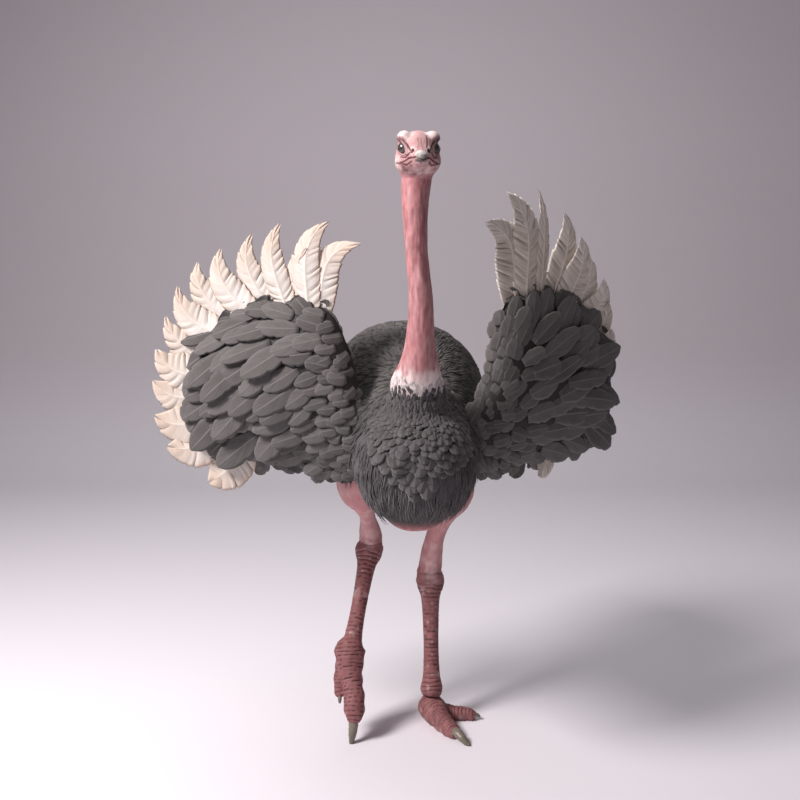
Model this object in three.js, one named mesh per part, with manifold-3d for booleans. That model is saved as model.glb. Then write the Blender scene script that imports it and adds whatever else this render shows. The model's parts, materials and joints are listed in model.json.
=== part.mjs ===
// A life-size ostrich, standing on its left foot with the right toe tip on the ground and both wings raised.
// Millimetres, +Z up. The bird faces -Y and its left side is +X. The floor is z = 0.
import * as THREE from "three";
import Module from "manifold-3d";

const wasm = await Module();
wasm.setup();
const { Manifold, Mesh } = wasm;

// Thin cut left between neighbouring pieces.
const GAP = 0.4;

// Overall stance: where the main joints stand before the bird is centred over the origin.
const HEAD = [-8, -622, 2266];
const HEAD_TURN = 5;
const EYE = { side: 44, forward: 27, above: 7, radius: 27 };
const HOCK = { left: [58, 80, 598], right: [-195, 140, 707] };
const BALL = { left: [64, -6, 108], right: [-270, -85, 322] };
const WING_ROOT = { left: [220, -402, 1322], right: [-190, -402, 1310] };
const WING_SWEEP = { left: 36, right: 15 };

// Trunk from breast to rump: x, y, z of the axis, half width, half height.
const TRUNK = [
  [-6, -704, 1134, 22, 24],
  [-6, -682, 1138, 120, 124],
  [-8, -612, 1154, 196, 212],
  [-10, -502, 1174, 230, 254],
  [-8, -352, 1202, 254, 304],
  [-14, -192, 1238, 288, 346],
  [-40, -12, 1306, 328, 358],
  [-54, 138, 1364, 336, 324],
  [-50, 268, 1398, 272, 258],
  [-36, 360, 1404, 170, 170],
  [-30, 414, 1408, 66, 68],
];

// Neck from the collar to the throat: x, y, z, half width, half depth.
const NECK = [
  [-4, -470, 1288, 140, 172],
  [-6, -524, 1388, 118, 124],
  [-6, -566, 1476, 96, 88],
  [-1, -598, 1540, 74, 71],
  [2, -618, 1630, 54, 56],
  [3, -634, 1774, 45, 49],
  [-11, -626, 1922, 42, 48],
  [-16, -602, 2072, 45, 50],
  [-12, -590, 2172, 52, 56],
  [-8, -596, 2238, 54, 57],
];

// Skull, measured from the centre of the head: forward is -Y.
const SKULL = [
  [0, -102, -18, 22, 12],
  [0, -92, -15, 32, 19],
  [0, -68, -7, 46, 34],
  [0, -36, 2, 62, 58],
  [0, 0, 3, 71, 66],
  [0, 32, 4, 70, 66],
  [0, 60, 4, 56, 56],
  [0, 80, 2, 34, 36],
  [0, 88, 0, 12, 13],
];
const BROW = { at: [43, -20, 40], half: [32, 42, 29] };
const CHEEK = { at: [32, 2, -30], half: [47, 64, 49] };

// Bill halves, measured from the centre of the head.
const BILL_UPPER = [
  [0, -70, -8, 28, 12],
  [0, -104, -18, 22, 10],
  [0, -128, -24, 20, 9],
  [0, -144, -28, 16, 7.5],
  [0, -154, -31, 9, 4.5],
];
const BILL_LOWER = [
  [0, -66, -36, 27, 7],
  [0, -106, -38, 20, 5.5],
  [0, -130, -40, 15, 4.5],
  [0, -143, -41, 8, 3.5],
];

// Drumsticks from inside the flank down to the hock: x, y, z, half width, half depth.
const THIGH_RIGHT = [
  [-190, -170, 1120, 90, 130],
  [-222, -114, 1030, 98, 120],
  [-214, -42, 950, 54, 84],
  [-202, 38, 862, 33, 50],
  [-194, 106, 780, 46, 52],
  [-198, 135, 736, 42, 46],
];
const THIGH_LEFT = [
  [120, -168, 1100, 96, 130],
  [134, -134, 1000, 88, 120],
  [112, -78, 910, 50, 84],
  [80, -8, 800, 38, 55],
  [64, 50, 700, 45, 50],
  [64, 75, 634, 42, 46],
];

// Shanks from the hock to the ball of the foot, as parts of that length, with the half width and half depth.
const SHANK = [
  [-0.1, 36, 36],
  [-0.05, 50, 50],
  [0.02, 57, 58],
  [0.1, 52, 54],
  [0.19, 39, 44],
  [0.38, 33, 37],
  [0.62, 31, 36],
  [0.82, 35, 39],
  [0.93, 44, 46],
  [1, 40, 42],
];

// Toes: x, y, z, half width, half height. Pads come below the floor and are cut flat by it.
const LEFT_MAIN_TOE = [
  [60, 42, 100, 24, 24],
  [61, 24, 82, 46, 46],
  [65, -8, 60, 56, 62],
  [78, -44, 50, 49, 52],
  [96, -84, 38, 40, 40],
  [114, -122, 34, 39, 37],
  [132, -156, 30, 34, 32],
  [146, -182, 27, 30, 29],
  [154, -198, 26, 20, 20],
];
const LEFT_OUTER_TOE = [
  [70, -2, 46, 32, 40],
  [110, 4, 36, 34, 38],
  [152, 6, 28, 30, 30],
  [194, 5, 25, 29, 28],
  [228, 2, 22, 25, 24],
  [248, 0, 21, 13, 13],
];
const LEFT_CLAW = [
  [142, -172, 34, 15, 13],
  [160, -204, 32, 19, 17],
  [178, -228, 22, 17, 15],
  [196, -248, 8, 11, 10],
  [208, -260, 5, 4, 4],
];
const LEFT_NAIL = [
  [236, 1, 25, 7, 7],
  [252, -1, 23, 8, 8],
  [266, -3, 15, 4, 4],
];
const RIGHT_MAIN_TOE = [
  [-274, -62, 378, 32, 32],
  [-273, -76, 352, 55, 53],
  [-272, -92, 312, 62, 60],
  [-268, -116, 258, 49, 49],
  [-259, -146, 204, 42, 44],
  [-251, -178, 152, 43, 44],
  [-250, -199, 112, 38, 38],
  [-252, -207, 84, 27, 27],
  [-253, -209, 74, 14, 14],
];
const RIGHT_OUTER_TOE = [
  [-284, -74, 326, 30, 34],
  [-300, -88, 282, 30, 34],
  [-310, -108, 236, 25, 28],
  [-312, -132, 196, 22, 24],
  [-310, -148, 168, 18, 18],
  [-309, -153, 158, 9, 9],
];
const RIGHT_CLAW = [
  [-251, -204, 116, 15, 14],
  [-253, -214, 78, 19, 17],
  [-256, -224, 44, 17, 15],
  [-259, -230, 16, 12, 12],
  [-260, -231, -4, 9, 9],
];
const RIGHT_NAIL = [
  [-310, -146, 178, 7, 7],
  [-310, -160, 156, 8, 7],
  [-310, -169, 140, 4, 4],
];

// Wing blade, from its root: distance out, lower edge, upper edge, half thickness, bulge to the front.
const WING_BLADE = [
  [-90, -120, 20, 50, 0],
  [-40, -182, 60, 62, 10],
  [20, -206, 125, 66, 24],
  [70, -216, 290, 62, 40],
  [150, -212, 432, 56, 58],
  [300, -178, 456, 50, 72],
  [460, -164, 436, 44, 66],
  [600, -150, 352, 36, 44],
  [680, -70, 250, 26, 24],
  [706, 40, 160, 12, 12],
];
const WING_GROWTH = { left: [0.94, 1.03], right: [1, 1] };

// Plumes of each wing: root out, root up, tip out, tip up, sideways bend, half width.
const PLUMES = {
  right: [
    [206, 330, 6, 650, -80, 56],
    [228, 350, 118, 732, -66, 54],
    [262, 350, 214, 640, -34, 44],
    [292, 350, 308, 730, -52, 48],
    [345, 345, 424, 694, -58, 50],
    [405, 330, 544, 642, -58, 58],
    [455, 300, 646, 592, -58, 62],
    [495, 260, 724, 500, -56, 66],
    [520, 200, 786, 386, -54, 68],
    [535, 140, 822, 262, -50, 70],
    [540, 80, 846, 138, -44, 72],
    [535, 10, 838, 4, -36, 74],
    [510, -50, 794, -116, -26, 76],
    [448, -96, 620, -246, -12, 76],
  ],
  left: [
    [198, 370, -14, 712, -86, 74],
    [230, 380, 82, 824, -76, 66],
    [258, 380, 172, 724, -44, 56],
    [293, 380, 240, 846, -34, 26],
    [343, 370, 382, 766, -54, 60],
    [393, 350, 458, 676, -54, 66],
    [438, 320, 520, 604, -48, 60],
    [473, 270, 592, 516, -46, 62],
    [498, 210, 634, 424, -40, 62],
    [508, 140, 642, 316, -34, 60],
    [518, 80, 648, 204, -26, 58],
    [518, 20, 642, 92, -18, 54],
    [394, -120, 270, -234, 14, 42],
  ],
};
const PLUME = { parts: 5, tipCrowding: 1.6, halfThickness: 4, lift: 30, layers: [4, 16], swayShare: 6.75 };
// How late a plume narrows to its tip: pointed where it stands up high on the wing, rounded elsewhere.
const TIP_BLUNTNESS = { pointed: 4.5, rounded: 9, tail: 6 };
const POINTED_ABOVE = 380;

// Tail: drooping plumes that leave the rump in three tiers.
const TAIL_ROOT = [-22, 322, 1402];
const RUMP = [120, 130, 104];
const TAIL_PLUME = { parts: 5, start: 40, arch: 36, halfThickness: 7, shorterAside: 0.2, lengths: [1, 0.86] };
const TAIL_TIERS = [
  { count: 5, rise: 46, spread: 40, reach: 290, drop: 150, halfWidth: 50 },
  { count: 6, rise: 0, spread: 58, reach: 262, drop: 262, halfWidth: 52 },
  { count: 5, rise: -46, spread: 50, reach: 190, drop: 320, halfWidth: 52 },
];

const SKIN = { color: 0xc8877f, roughness: 0.62 };
const SCALE = { color: 0xa9675c, roughness: 0.6 };
const HORN = { color: 0x8f8a7c, roughness: 0.45 };
const FEATHER = { color: 0x6a6866, roughness: 0.9 };
const PLUME_WHITE = { color: 0xe4d8c6, roughness: 0.88 };
const EYE_DARK = { color: 0x2b2422, roughness: 0.12 };

// Rows of numbers, with rows added between them on a smooth curve.
function smoothRows(rows, perSpan) {
  const out = [];
  for (let i = 0; i + 1 < rows.length; i += 1) {
    const before = rows[Math.max(i - 1, 0)];
    const after = rows[Math.min(i + 2, rows.length - 1)];
    for (let k = 0; k < perSpan; k += 1) {
      const t = k / perSpan;
      out.push(rows[i].map((value, c) => catmull(before[c], value, rows[i + 1][c], after[c], t)));
    }
  }
  out.push(rows[rows.length - 1]);
  return out;
}

function catmull(a, b, c, d, t) {
  const first = (c - a) / 2;
  const second = (d - b) / 2;
  const cubic = 2 * b - 2 * c + first + second;
  const square = -3 * b + 3 * c - 2 * first - second;
  return ((cubic * t + square) * t + first) * t + b;
}

// A closed solid from rings of points, each ring going the same way round, with a fan closing each end.
function solidFromRings(rings) {
  const sides = rings[0].length;
  const points = rings.flat();
  const last = rings.length - 1;
  const centre = (ringPoints) =>
    ringPoints.reduce((sum, p) => sum.add(p), new THREE.Vector3()).divideScalar(sides);
  points.push(centre(rings[0]), centre(rings[last]));
  const faces = [];
  for (let r = 0; r < last; r += 1) {
    for (let s = 0; s < sides; s += 1) {
      const a = r * sides + s;
      const b = r * sides + ((s + 1) % sides);
      faces.push(a, b, b + sides, a, b + sides, a + sides);
    }
  }
  for (let s = 0; s < sides; s += 1) {
    const next = (s + 1) % sides;
    faces.push(points.length - 2, next, s);
    faces.push(points.length - 1, last * sides + s, last * sides + next);
  }
  return manifoldOf(points, faces);
}

// The joining library's solid for a list of points and triangles, turned outward if it came inside out.
function manifoldOf(points, faces) {
  const triVerts = Uint32Array.from(faces);
  if (signedVolume(points, faces) < 0) {
    for (let i = 0; i < triVerts.length; i += 3) {
      [triVerts[i], triVerts[i + 1]] = [triVerts[i + 1], triVerts[i]];
    }
  }
  const vertProperties = Float32Array.from(points.flatMap((p) => [p.x, p.y, p.z]));
  return new Manifold(new Mesh({ numProp: 3, vertProperties, triVerts }));
}

function signedVolume(points, faces) {
  let sum = 0;
  for (let i = 0; i < faces.length; i += 3) {
    const [a, b, c] = [points[faces[i]], points[faces[i + 1]], points[faces[i + 2]]];
    sum += a.dot(new THREE.Vector3().crossVectors(b, c));
  }
  return sum;
}

// Where a row stands when it needs no moving.
function standing([x, y, z]) {
  return new THREE.Vector3(x, y, z);
}

// A rounded limb through rows of x, y, z, half size across and half size along the given up direction.
function limb(rows, { sides = 16, perSpan = 2, up = [0, 0, 1], grow = 0, place = standing } = {}) {
  const stations = smoothRows(rows, perSpan);
  const centres = stations.map(place);
  const upward = new THREE.Vector3(...up);
  const rings = stations.map((station, i) => {
    const ahead = centres[Math.min(i + 1, centres.length - 1)];
    const behind = centres[Math.max(i - 1, 0)];
    const along = ahead.clone().sub(behind).normalize();
    const across = new THREE.Vector3().crossVectors(upward, along).normalize();
    const over = new THREE.Vector3().crossVectors(along, across);
    const stretch = i === 0 ? -grow : i === stations.length - 1 ? grow : 0;
    const centre = centres[i].clone().addScaledVector(along, stretch);
    return Array.from({ length: sides }, (_, s) => {
      const angle = ((s + 0.5) / sides) * 2 * Math.PI;
      return centre
        .clone()
        .addScaledVector(across, (station[3] + grow) * Math.cos(angle))
        .addScaledVector(over, (station[4] + grow) * Math.sin(angle));
    });
  });
  return solidFromRings(rings);
}

// A rounded lump with the given half sizes.
function lump(at, half, grow = 0, { rings = 6, sides = 10 } = {}) {
  const slices = Array.from({ length: rings }, (_, i) => {
    const tilt = ((i + 0.5) / rings - 0.5) * Math.PI;
    return Array.from({ length: sides }, (__, s) => {
      const turn = (s / sides) * 2 * Math.PI;
      return new THREE.Vector3(
        at.x + (half[0] + grow) * Math.cos(tilt) * Math.cos(turn),
        at.y + (half[1] + grow) * Math.cos(tilt) * Math.sin(turn),
        at.z + (half[2] + grow) * Math.sin(tilt),
      );
    });
  });
  return solidFromRings(slices);
}

function joined(solids) {
  return solids.reduce((whole, solid) => whole.add(solid));
}

// A place measured from the centre of the head, which is turned a little to its left.
function fromHead([x, y, z]) {
  const turned = new THREE.Vector3(x, y, z).applyAxisAngle(
    new THREE.Vector3(0, 0, 1),
    THREE.MathUtils.degToRad(HEAD_TURN),
  );
  return turned.add(new THREE.Vector3(...HEAD));
}

const mirrored = ([x, y, z]) => [-x, y, z];

// Trunk, neck, head and bill.
const trunk = (grow = 0) => limb(TRUNK, { sides: 20, grow });
const neck = (grow = 0) => limb(NECK, { sides: 12, up: [0, -1, 0], grow });

function head(grow = 0) {
  const lumps = [BROW, CHEEK].flatMap(({ at, half }) => [
    lump(fromHead(at), half, grow),
    lump(fromHead(mirrored(at)), half, grow),
  ]);
  return joined([limb(SKULL, { sides: 14, perSpan: 1, place: fromHead, grow }), ...lumps]);
}

const eyeAt = (side) => fromHead([side * EYE.side, -EYE.forward, EYE.above]);
const eye = (side, grow = 0) =>
  lump(eyeAt(side), [EYE.radius, EYE.radius, EYE.radius], grow, { rings: 7, sides: 12 });
const billUpper = (grow = 0) => limb(BILL_UPPER, { sides: 12, perSpan: 1, place: fromHead, grow });
const billLower = (grow = 0) => limb(BILL_LOWER, { sides: 12, perSpan: 1, place: fromHead, grow });

// Legs: the drumstick, the shank hung between hock and ball, and the toes with their claws.
const legUp = [0, -1, 0];
const thigh = (rows, grow = 0) => limb(rows, { sides: 12, up: legUp, grow });

function shank(hock, ball, grow = 0) {
  const rows = SHANK.map(([part, width, depth]) => {
    const place = hock.map((value, axis) => value + (ball[axis] - value) * part);
    return [...place, width, depth];
  });
  return limb(rows, { sides: 12, perSpan: 1, up: legUp, grow });
}

const toe = (rows, up, grow = 0) => limb(rows, { sides: 9, perSpan: 1, up, grow });
const claw = (rows, up, grow = 0) => limb(rows, { sides: 8, perSpan: 1, up, grow });

// Everything below the floor, to be taken from what stands on it.
function underFloor() {
  const reach = 900;
  const depth = 200;
  const ring = (z) => [
    new THREE.Vector3(-reach, -reach, z),
    new THREE.Vector3(reach, -reach, z),
    new THREE.Vector3(reach, reach, z),
    new THREE.Vector3(-reach, reach, z),
  ];
  return solidFromRings([ring(-depth), ring(0)]);
}

// A wing's own directions: out from the body, up, and to its front face.
function wingFrame(name) {
  const side = name === "left" ? 1 : -1;
  const sweep = THREE.MathUtils.degToRad(WING_SWEEP[name]);
  const root = new THREE.Vector3(...WING_ROOT[name]);
  const out = new THREE.Vector3(side * Math.cos(sweep), Math.sin(sweep), 0);
  const front = new THREE.Vector3(side * Math.sin(sweep), -Math.cos(sweep), 0);
  const place = (u, v, n) =>
    root.clone().addScaledVector(out, u).addScaledVector(front, n).add(new THREE.Vector3(0, 0, v));
  return { place };
}

// The feathered blade of a wing: a shallow bowl whose hollow faces backwards.
function wingBlade(name) {
  const { place } = wingFrame(name);
  const [growOut, growUp] = WING_GROWTH[name];
  const sides = 12;
  const rings = smoothRows(WING_BLADE, 2).map(([out, low, high, thickness, bulge]) => {
    const middle = (high + low) / 2;
    const half = (high - low) / 2;
    return Array.from({ length: sides }, (_, s) => {
      const angle = ((s + 0.5) / sides) * 2 * Math.PI;
      const across = Math.cos(angle);
      const dome = bulge * (1 - across * across);
      return place(out * growOut, (middle + half * across) * growUp, dome + thickness * Math.sin(angle));
    });
  });
  return solidFromRings(rings);
}

// One plume: a thin leaf-shaped blade that bends sideways and leans towards its tip.
function plume(name, [rootOut, rootUp, tipOut, tipUp, bend, halfWidth], layer) {
  const { place } = wingFrame(name);
  const length = Math.hypot(tipOut - rootOut, tipUp - rootUp);
  const along = [(tipOut - rootOut) / length, (tipUp - rootUp) / length];
  const across = [-along[1], along[0]];
  const bluntness = tipUp < POINTED_ABOVE ? TIP_BLUNTNESS.rounded : TIP_BLUNTNESS.pointed;
  const rings = Array.from({ length: PLUME.parts + 1 }, (_, i) => {
    const t = 1 - Math.pow(1 - i / PLUME.parts, PLUME.tipCrowding);
    const sway = bend * PLUME.swayShare * t * t * (1 - t);
    const width = halfWidth * leafWidth(t, bluntness);
    const depth = PLUME.halfThickness * (1 - 0.5 * t);
    const at = [
      rootOut + along[0] * length * t + across[0] * sway,
      rootUp + along[1] * length * t + across[1] * sway,
    ];
    const lean = layer + PLUME.lift * t * t;
    return [
      place(at[0] + across[0] * width, at[1] + across[1] * width, lean - depth),
      place(at[0], at[1], lean + depth),
      place(at[0] - across[0] * width, at[1] - across[1] * width, lean - depth),
      place(at[0], at[1], lean - 2 * depth),
    ];
  });
  return solidFromRings(rings);
}

// How wide a plume is along its length, as a part of its widest, from the root at 0 to the tip at 1.
// The higher the bluntness, the later it narrows to its tip.
function leafWidth(t, bluntness) {
  const swell = 0.4 + 0.6 * Math.sin(Math.PI * Math.min(1, 0.06 + 0.72 * t));
  const taper = 1 - Math.pow(t, bluntness);
  return Math.max(0.05, swell * taper);
}

function wing(name) {
  const plumes = PLUMES[name].map((row, i) => plume(name, row, PLUME.layers[i % 2]));
  return joined([wingBlade(name), ...plumes]);
}

// Tail: a rump tuft with drooping plumes fanned out behind it.
function tail() {
  const plumes = TAIL_TIERS.flatMap((tier) =>
    Array.from({ length: tier.count }, (_, i) => {
      const fan = (2 * i) / (tier.count - 1) - 1;
      return tailPlume(tier, fan, TAIL_PLUME.lengths[i % 2]);
    }),
  );
  return joined([lump(standing(TAIL_ROOT), RUMP, 0, { rings: 6, sides: 10 }), ...plumes]);
}

function tailPlume(tier, fan, uneven) {
  const turn = THREE.MathUtils.degToRad(fan * tier.spread);
  const out = new THREE.Vector3(Math.sin(turn), Math.cos(turn), 0);
  const across = new THREE.Vector3(Math.cos(turn), -Math.sin(turn), 0);
  const { parts, start, arch, halfThickness, shorterAside } = TAIL_PLUME;
  const length = uneven * (1 - shorterAside * fan * fan);
  const rings = Array.from({ length: parts + 1 }, (_, i) => {
    const t = i / parts;
    const reach = start + tier.reach * length * Math.sin((t * Math.PI) / 2);
    const height = tier.rise + arch * Math.sin(Math.PI * t) - tier.drop * length * t * t;
    const centre = new THREE.Vector3(...TAIL_ROOT).addScaledVector(out, reach);
    centre.z += height;
    const width = tier.halfWidth * leafWidth(t, TIP_BLUNTNESS.tail);
    const depth = halfThickness * (1 - 0.5 * t);
    const lifted = out.clone().multiplyScalar(depth * t);
    lifted.z = depth;
    return [
      centre.clone().addScaledVector(across, width),
      centre.clone().add(lifted),
      centre.clone().addScaledVector(across, -width),
      centre.clone().sub(lifted),
    ];
  });
  return solidFromRings(rings);
}

// A mesh for one named piece.
function piece(name, solid, { color, roughness }) {
  const { vertProperties, triVerts, numProp } = solid.getMesh();
  const positions = new Float32Array((vertProperties.length / numProp) * 3);
  for (let i = 0; i < positions.length / 3; i += 1) {
    positions.set(vertProperties.subarray(i * numProp, i * numProp + 3), i * 3);
  }
  const geometry = new THREE.BufferGeometry();
  geometry.setAttribute("position", new THREE.BufferAttribute(positions, 3));
  geometry.setIndex(Array.from(triVerts));
  geometry.computeVertexNormals();
  const mesh = new THREE.Mesh(geometry, new THREE.MeshStandardMaterial({ color, roughness, metalness: 0 }));
  mesh.name = name;
  return mesh;
}

const floor = underFloor();
const toeUp = [0, 0, 1];
const LEGS = {
  left: {
    thigh: THIGH_LEFT,
    mainToe: LEFT_MAIN_TOE,
    outerToe: LEFT_OUTER_TOE,
    claw: LEFT_CLAW,
    nail: LEFT_NAIL,
    up: toeUp,
  },
  right: {
    thigh: THIGH_RIGHT,
    mainToe: RIGHT_MAIN_TOE,
    outerToe: RIGHT_OUTER_TOE,
    claw: RIGHT_CLAW,
    nail: RIGHT_NAIL,
    up: legUp,
  },
};

// The five pieces of a leg, each parted from its neighbours by the thin cut.
function leg(name) {
  const rows = LEGS[name];
  const drumstick = (grow = 0) => thigh(rows.thigh, grow);
  const foot = (grow = 0) => joined([toe(rows.mainToe, rows.up, grow), toe(rows.outerToe, rows.up, grow)]);
  const mainClaw = (grow = 0) => claw(rows.claw, rows.up, grow);
  const nail = (grow = 0) => claw(rows.nail, rows.up, grow);
  const solids = {
    thigh: drumstick().subtract(trunk(GAP)),
    shank: shank(HOCK[name], BALL[name]).subtract(drumstick(GAP)).subtract(foot(GAP)),
    foot: foot().subtract(mainClaw(GAP)).subtract(nail(GAP)).subtract(floor),
    claw: mainClaw().subtract(floor),
    nail: nail(),
  };
  const finishes = { thigh: SKIN, shank: SCALE, foot: SCALE, claw: HORN, nail: HORN };
  return Object.entries(solids).map(([part, solid]) => piece(`${part}_${name}`, solid, finishes[part]));
}

const group = new THREE.Group();
const eyes = [1, -1].map((side) => eye(side, GAP));
const skull = head().subtract(joined(eyes)).subtract(billUpper(GAP)).subtract(billLower(GAP));
group.add(piece("trunk", trunk(), FEATHER));
group.add(piece("neck", neck().subtract(trunk(GAP)).subtract(head(GAP)), SKIN));
group.add(piece("head", skull, SKIN));
group.add(piece("bill_upper", billUpper(), HORN));
group.add(piece("bill_lower", billLower().subtract(billUpper(GAP)), HORN));
group.add(piece("eye_left", eye(1), EYE_DARK));
group.add(piece("eye_right", eye(-1), EYE_DARK));
group.add(piece("tail", tail().subtract(trunk(GAP)), PLUME_WHITE));
for (const name of ["left", "right"]) {
  group.add(piece(`wing_${name}`, wing(name).subtract(trunk(GAP)), FEATHER));
  group.add(...leg(name));
}

// Centre the bird over the origin, with the floor at z = 0.
const box = new THREE.Box3().setFromObject(group);
const middle = box.getCenter(new THREE.Vector3());
for (const mesh of group.children) {
  mesh.geometry.translate(-middle.x, -middle.y, 0);
}

export default group;
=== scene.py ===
"""A life-size ostrich in mid-stride with both wings raised: skin, bill, eyes, claws and feathers.

Metres, +Z up. The bird faces -Y, its left side is +X and the floor is z = 0. The bird's shape is written in
millimetres about its own standing point, and one shift read from the frame puts it in its place.
"""

import json
import logging
import math
from dataclasses import dataclass, field
from enum import Enum
from functools import partial
from typing import Callable, ClassVar, Sequence

import bpy
import numpy as np
from bpy.types import Material, Mesh, Node, NodeSocket, NodeTree, Object
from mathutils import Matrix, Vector, kdtree

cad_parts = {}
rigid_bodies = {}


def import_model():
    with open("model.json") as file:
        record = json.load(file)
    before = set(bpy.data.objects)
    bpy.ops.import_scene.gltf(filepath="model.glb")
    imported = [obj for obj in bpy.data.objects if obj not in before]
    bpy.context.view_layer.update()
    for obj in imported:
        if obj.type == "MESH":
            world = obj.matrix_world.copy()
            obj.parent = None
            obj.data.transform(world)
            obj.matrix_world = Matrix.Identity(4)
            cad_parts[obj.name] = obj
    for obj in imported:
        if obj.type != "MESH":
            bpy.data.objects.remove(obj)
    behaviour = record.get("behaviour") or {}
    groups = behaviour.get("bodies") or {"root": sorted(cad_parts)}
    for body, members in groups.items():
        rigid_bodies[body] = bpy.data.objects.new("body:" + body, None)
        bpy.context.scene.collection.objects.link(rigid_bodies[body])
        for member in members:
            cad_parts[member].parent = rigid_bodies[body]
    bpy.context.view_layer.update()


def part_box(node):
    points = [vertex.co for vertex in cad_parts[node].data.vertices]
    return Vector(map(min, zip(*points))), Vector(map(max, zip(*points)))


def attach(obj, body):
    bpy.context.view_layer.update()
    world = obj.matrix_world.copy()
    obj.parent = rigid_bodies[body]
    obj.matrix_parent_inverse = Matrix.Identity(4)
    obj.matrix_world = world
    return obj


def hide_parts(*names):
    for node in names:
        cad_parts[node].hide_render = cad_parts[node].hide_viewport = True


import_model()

LOG = logging.getLogger("ostrich")
Array = np.ndarray
Point = tuple[float, float, float]

# ---- The bird's shape, in millimetres ----

HEAD = (-8, -622, 2266)
HEAD_TURN = math.radians(5)
EYE_AT = (44, -27, 7)
EYE_RADIUS = 27
HOCK = {"left": (58, 80, 598), "right": (-195, 140, 707)}
BALL = {"left": (64, -6, 108), "right": (-270, -85, 322)}
WING_ROOT = {"left": (220, -402, 1322), "right": (-190, -402, 1310)}
WING_SWEEP = {"left": math.radians(36), "right": math.radians(15)}
WING_GROWTH = {"left": (0.94, 1.03), "right": (1.0, 1.0)}

# Rows along a limb: x, y, z, half its size across and half its size along its up direction.
TRUNK = [
    (-6, -704, 1134, 22, 24), (-6, -682, 1138, 120, 124), (-8, -612, 1154, 196, 212), (-10, -502, 1174, 230, 254),
    (-8, -352, 1202, 254, 304), (-14, -192, 1238, 288, 346), (-40, -12, 1306, 328, 358),
    (-54, 138, 1364, 336, 324), (-50, 268, 1398, 272, 258), (-36, 360, 1404, 170, 170), (-30, 414, 1408, 66, 68),
]
NECK = [
    (-4, -470, 1288, 140, 172), (-6, -524, 1388, 118, 124), (-6, -566, 1476, 96, 88), (-1, -598, 1540, 74, 71),
    (2, -618, 1630, 54, 56), (3, -634, 1774, 45, 49), (-11, -626, 1922, 42, 48), (-16, -602, 2072, 45, 50),
    (-12, -590, 2172, 52, 56),
]
BILL_UPPER = [
    (0, -70, -8, 28, 12), (0, -104, -18, 22, 10), (0, -128, -24, 20, 9), (0, -144, -28, 16, 7.5),
    (0, -154, -31, 9, 4.5),
]
BILL_LOWER = [(0, -66, -36, 27, 7), (0, -106, -38, 20, 5.5), (0, -130, -40, 15, 4.5), (0, -143, -41, 8, 3.5)]
THIGH = {
    "right": [
        (-190, -170, 1120, 90, 130), (-222, -114, 1030, 98, 120), (-214, -42, 950, 53, 83),
        (-202, 38, 862, 32, 49), (-194, 106, 780, 45, 51),
    ],
    "left": [
        (120, -168, 1100, 96, 130), (134, -134, 1000, 88, 120), (112, -78, 910, 49, 83), (80, -8, 800, 37, 54),
        (64, 50, 700, 44, 49),
    ],
}
# Parts of the way from hock to ball, with the half width and half depth there.
SHANK = [
    (-0.04, 50, 50), (0.03, 57, 58), (0.1, 53, 55), (0.19, 39, 44), (0.38, 33, 37), (0.62, 31, 36),
    (0.82, 35, 39), (0.93, 45, 47), (1, 42, 44),
]
TOES = {
    "left_main": [
        (60, 42, 100, 24, 24), (61, 24, 82, 46, 46), (65, -8, 60, 56, 62), (78, -44, 50, 49, 52),
        (96, -84, 38, 40, 40), (114, -122, 34, 39, 37), (132, -156, 30, 34, 32), (146, -182, 27, 30, 29),
        (154, -198, 26, 20, 20),
    ],
    "left_outer": [
        (70, -2, 46, 32, 40), (110, 4, 36, 34, 38), (152, 6, 28, 30, 30), (194, 5, 25, 29, 28),
        (228, 2, 22, 25, 24), (248, 0, 21, 13, 13),
    ],
    "right_main": [
        (-274, -62, 378, 32, 32), (-273, -76, 352, 55, 53), (-272, -92, 312, 62, 60), (-268, -116, 258, 49, 49),
        (-259, -146, 204, 42, 44), (-251, -178, 152, 43, 44), (-250, -199, 112, 38, 38), (-252, -207, 84, 27, 27),
        (-253, -209, 74, 14, 14),
    ],
    "right_outer": [
        (-284, -74, 326, 30, 34), (-300, -88, 282, 30, 34), (-310, -108, 236, 25, 28), (-312, -132, 196, 22, 24),
        (-310, -148, 168, 18, 18), (-309, -153, 158, 9, 9),
    ],
}
CLAWS = {
    "claw_left": [
        (142, -172, 34, 15, 13), (160, -204, 32, 19, 17), (178, -228, 22, 17, 15), (196, -248, 8, 11, 10),
        (208, -260, 5, 4, 4),
    ],
    "nail_left": [(236, 1, 25, 7, 7), (252, -1, 23, 8, 8), (266, -3, 15, 4, 4)],
    "claw_right": [
        (-251, -204, 116, 15, 14), (-253, -214, 78, 19, 17), (-256, -224, 44, 17, 15), (-259, -230, 16, 12, 12),
        (-260, -231, -4, 9, 9),
    ],
    "nail_right": [(-310, -146, 178, 7, 7), (-310, -160, 156, 8, 7), (-310, -169, 140, 4, 4)],
}
# The face behind the bill, back to front: y, half width, half height, height of its middle.
MUZZLE = [
    (10, 62, 58, 0), (-36, 56, 49, -5), (-66, 46, 37, -12), (-84, 40, 30, -17), (-94, 34, 25, -20),
    (-104, 25, 18, -22), (-110, 19, 12, -23),
]
# Wing blade from its root: distance out, lower edge, upper edge, half thickness, bulge to the front.
WING_BLADE = [
    (-90, -120, 20, 50, 0), (-40, -182, 60, 62, 10), (20, -206, 125, 66, 24), (70, -216, 290, 62, 40),
    (150, -212, 432, 56, 58), (300, -178, 456, 50, 72), (460, -164, 436, 44, 66), (600, -150, 352, 36, 44),
    (680, -70, 250, 26, 24), (706, 40, 160, 12, 12),
]
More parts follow.
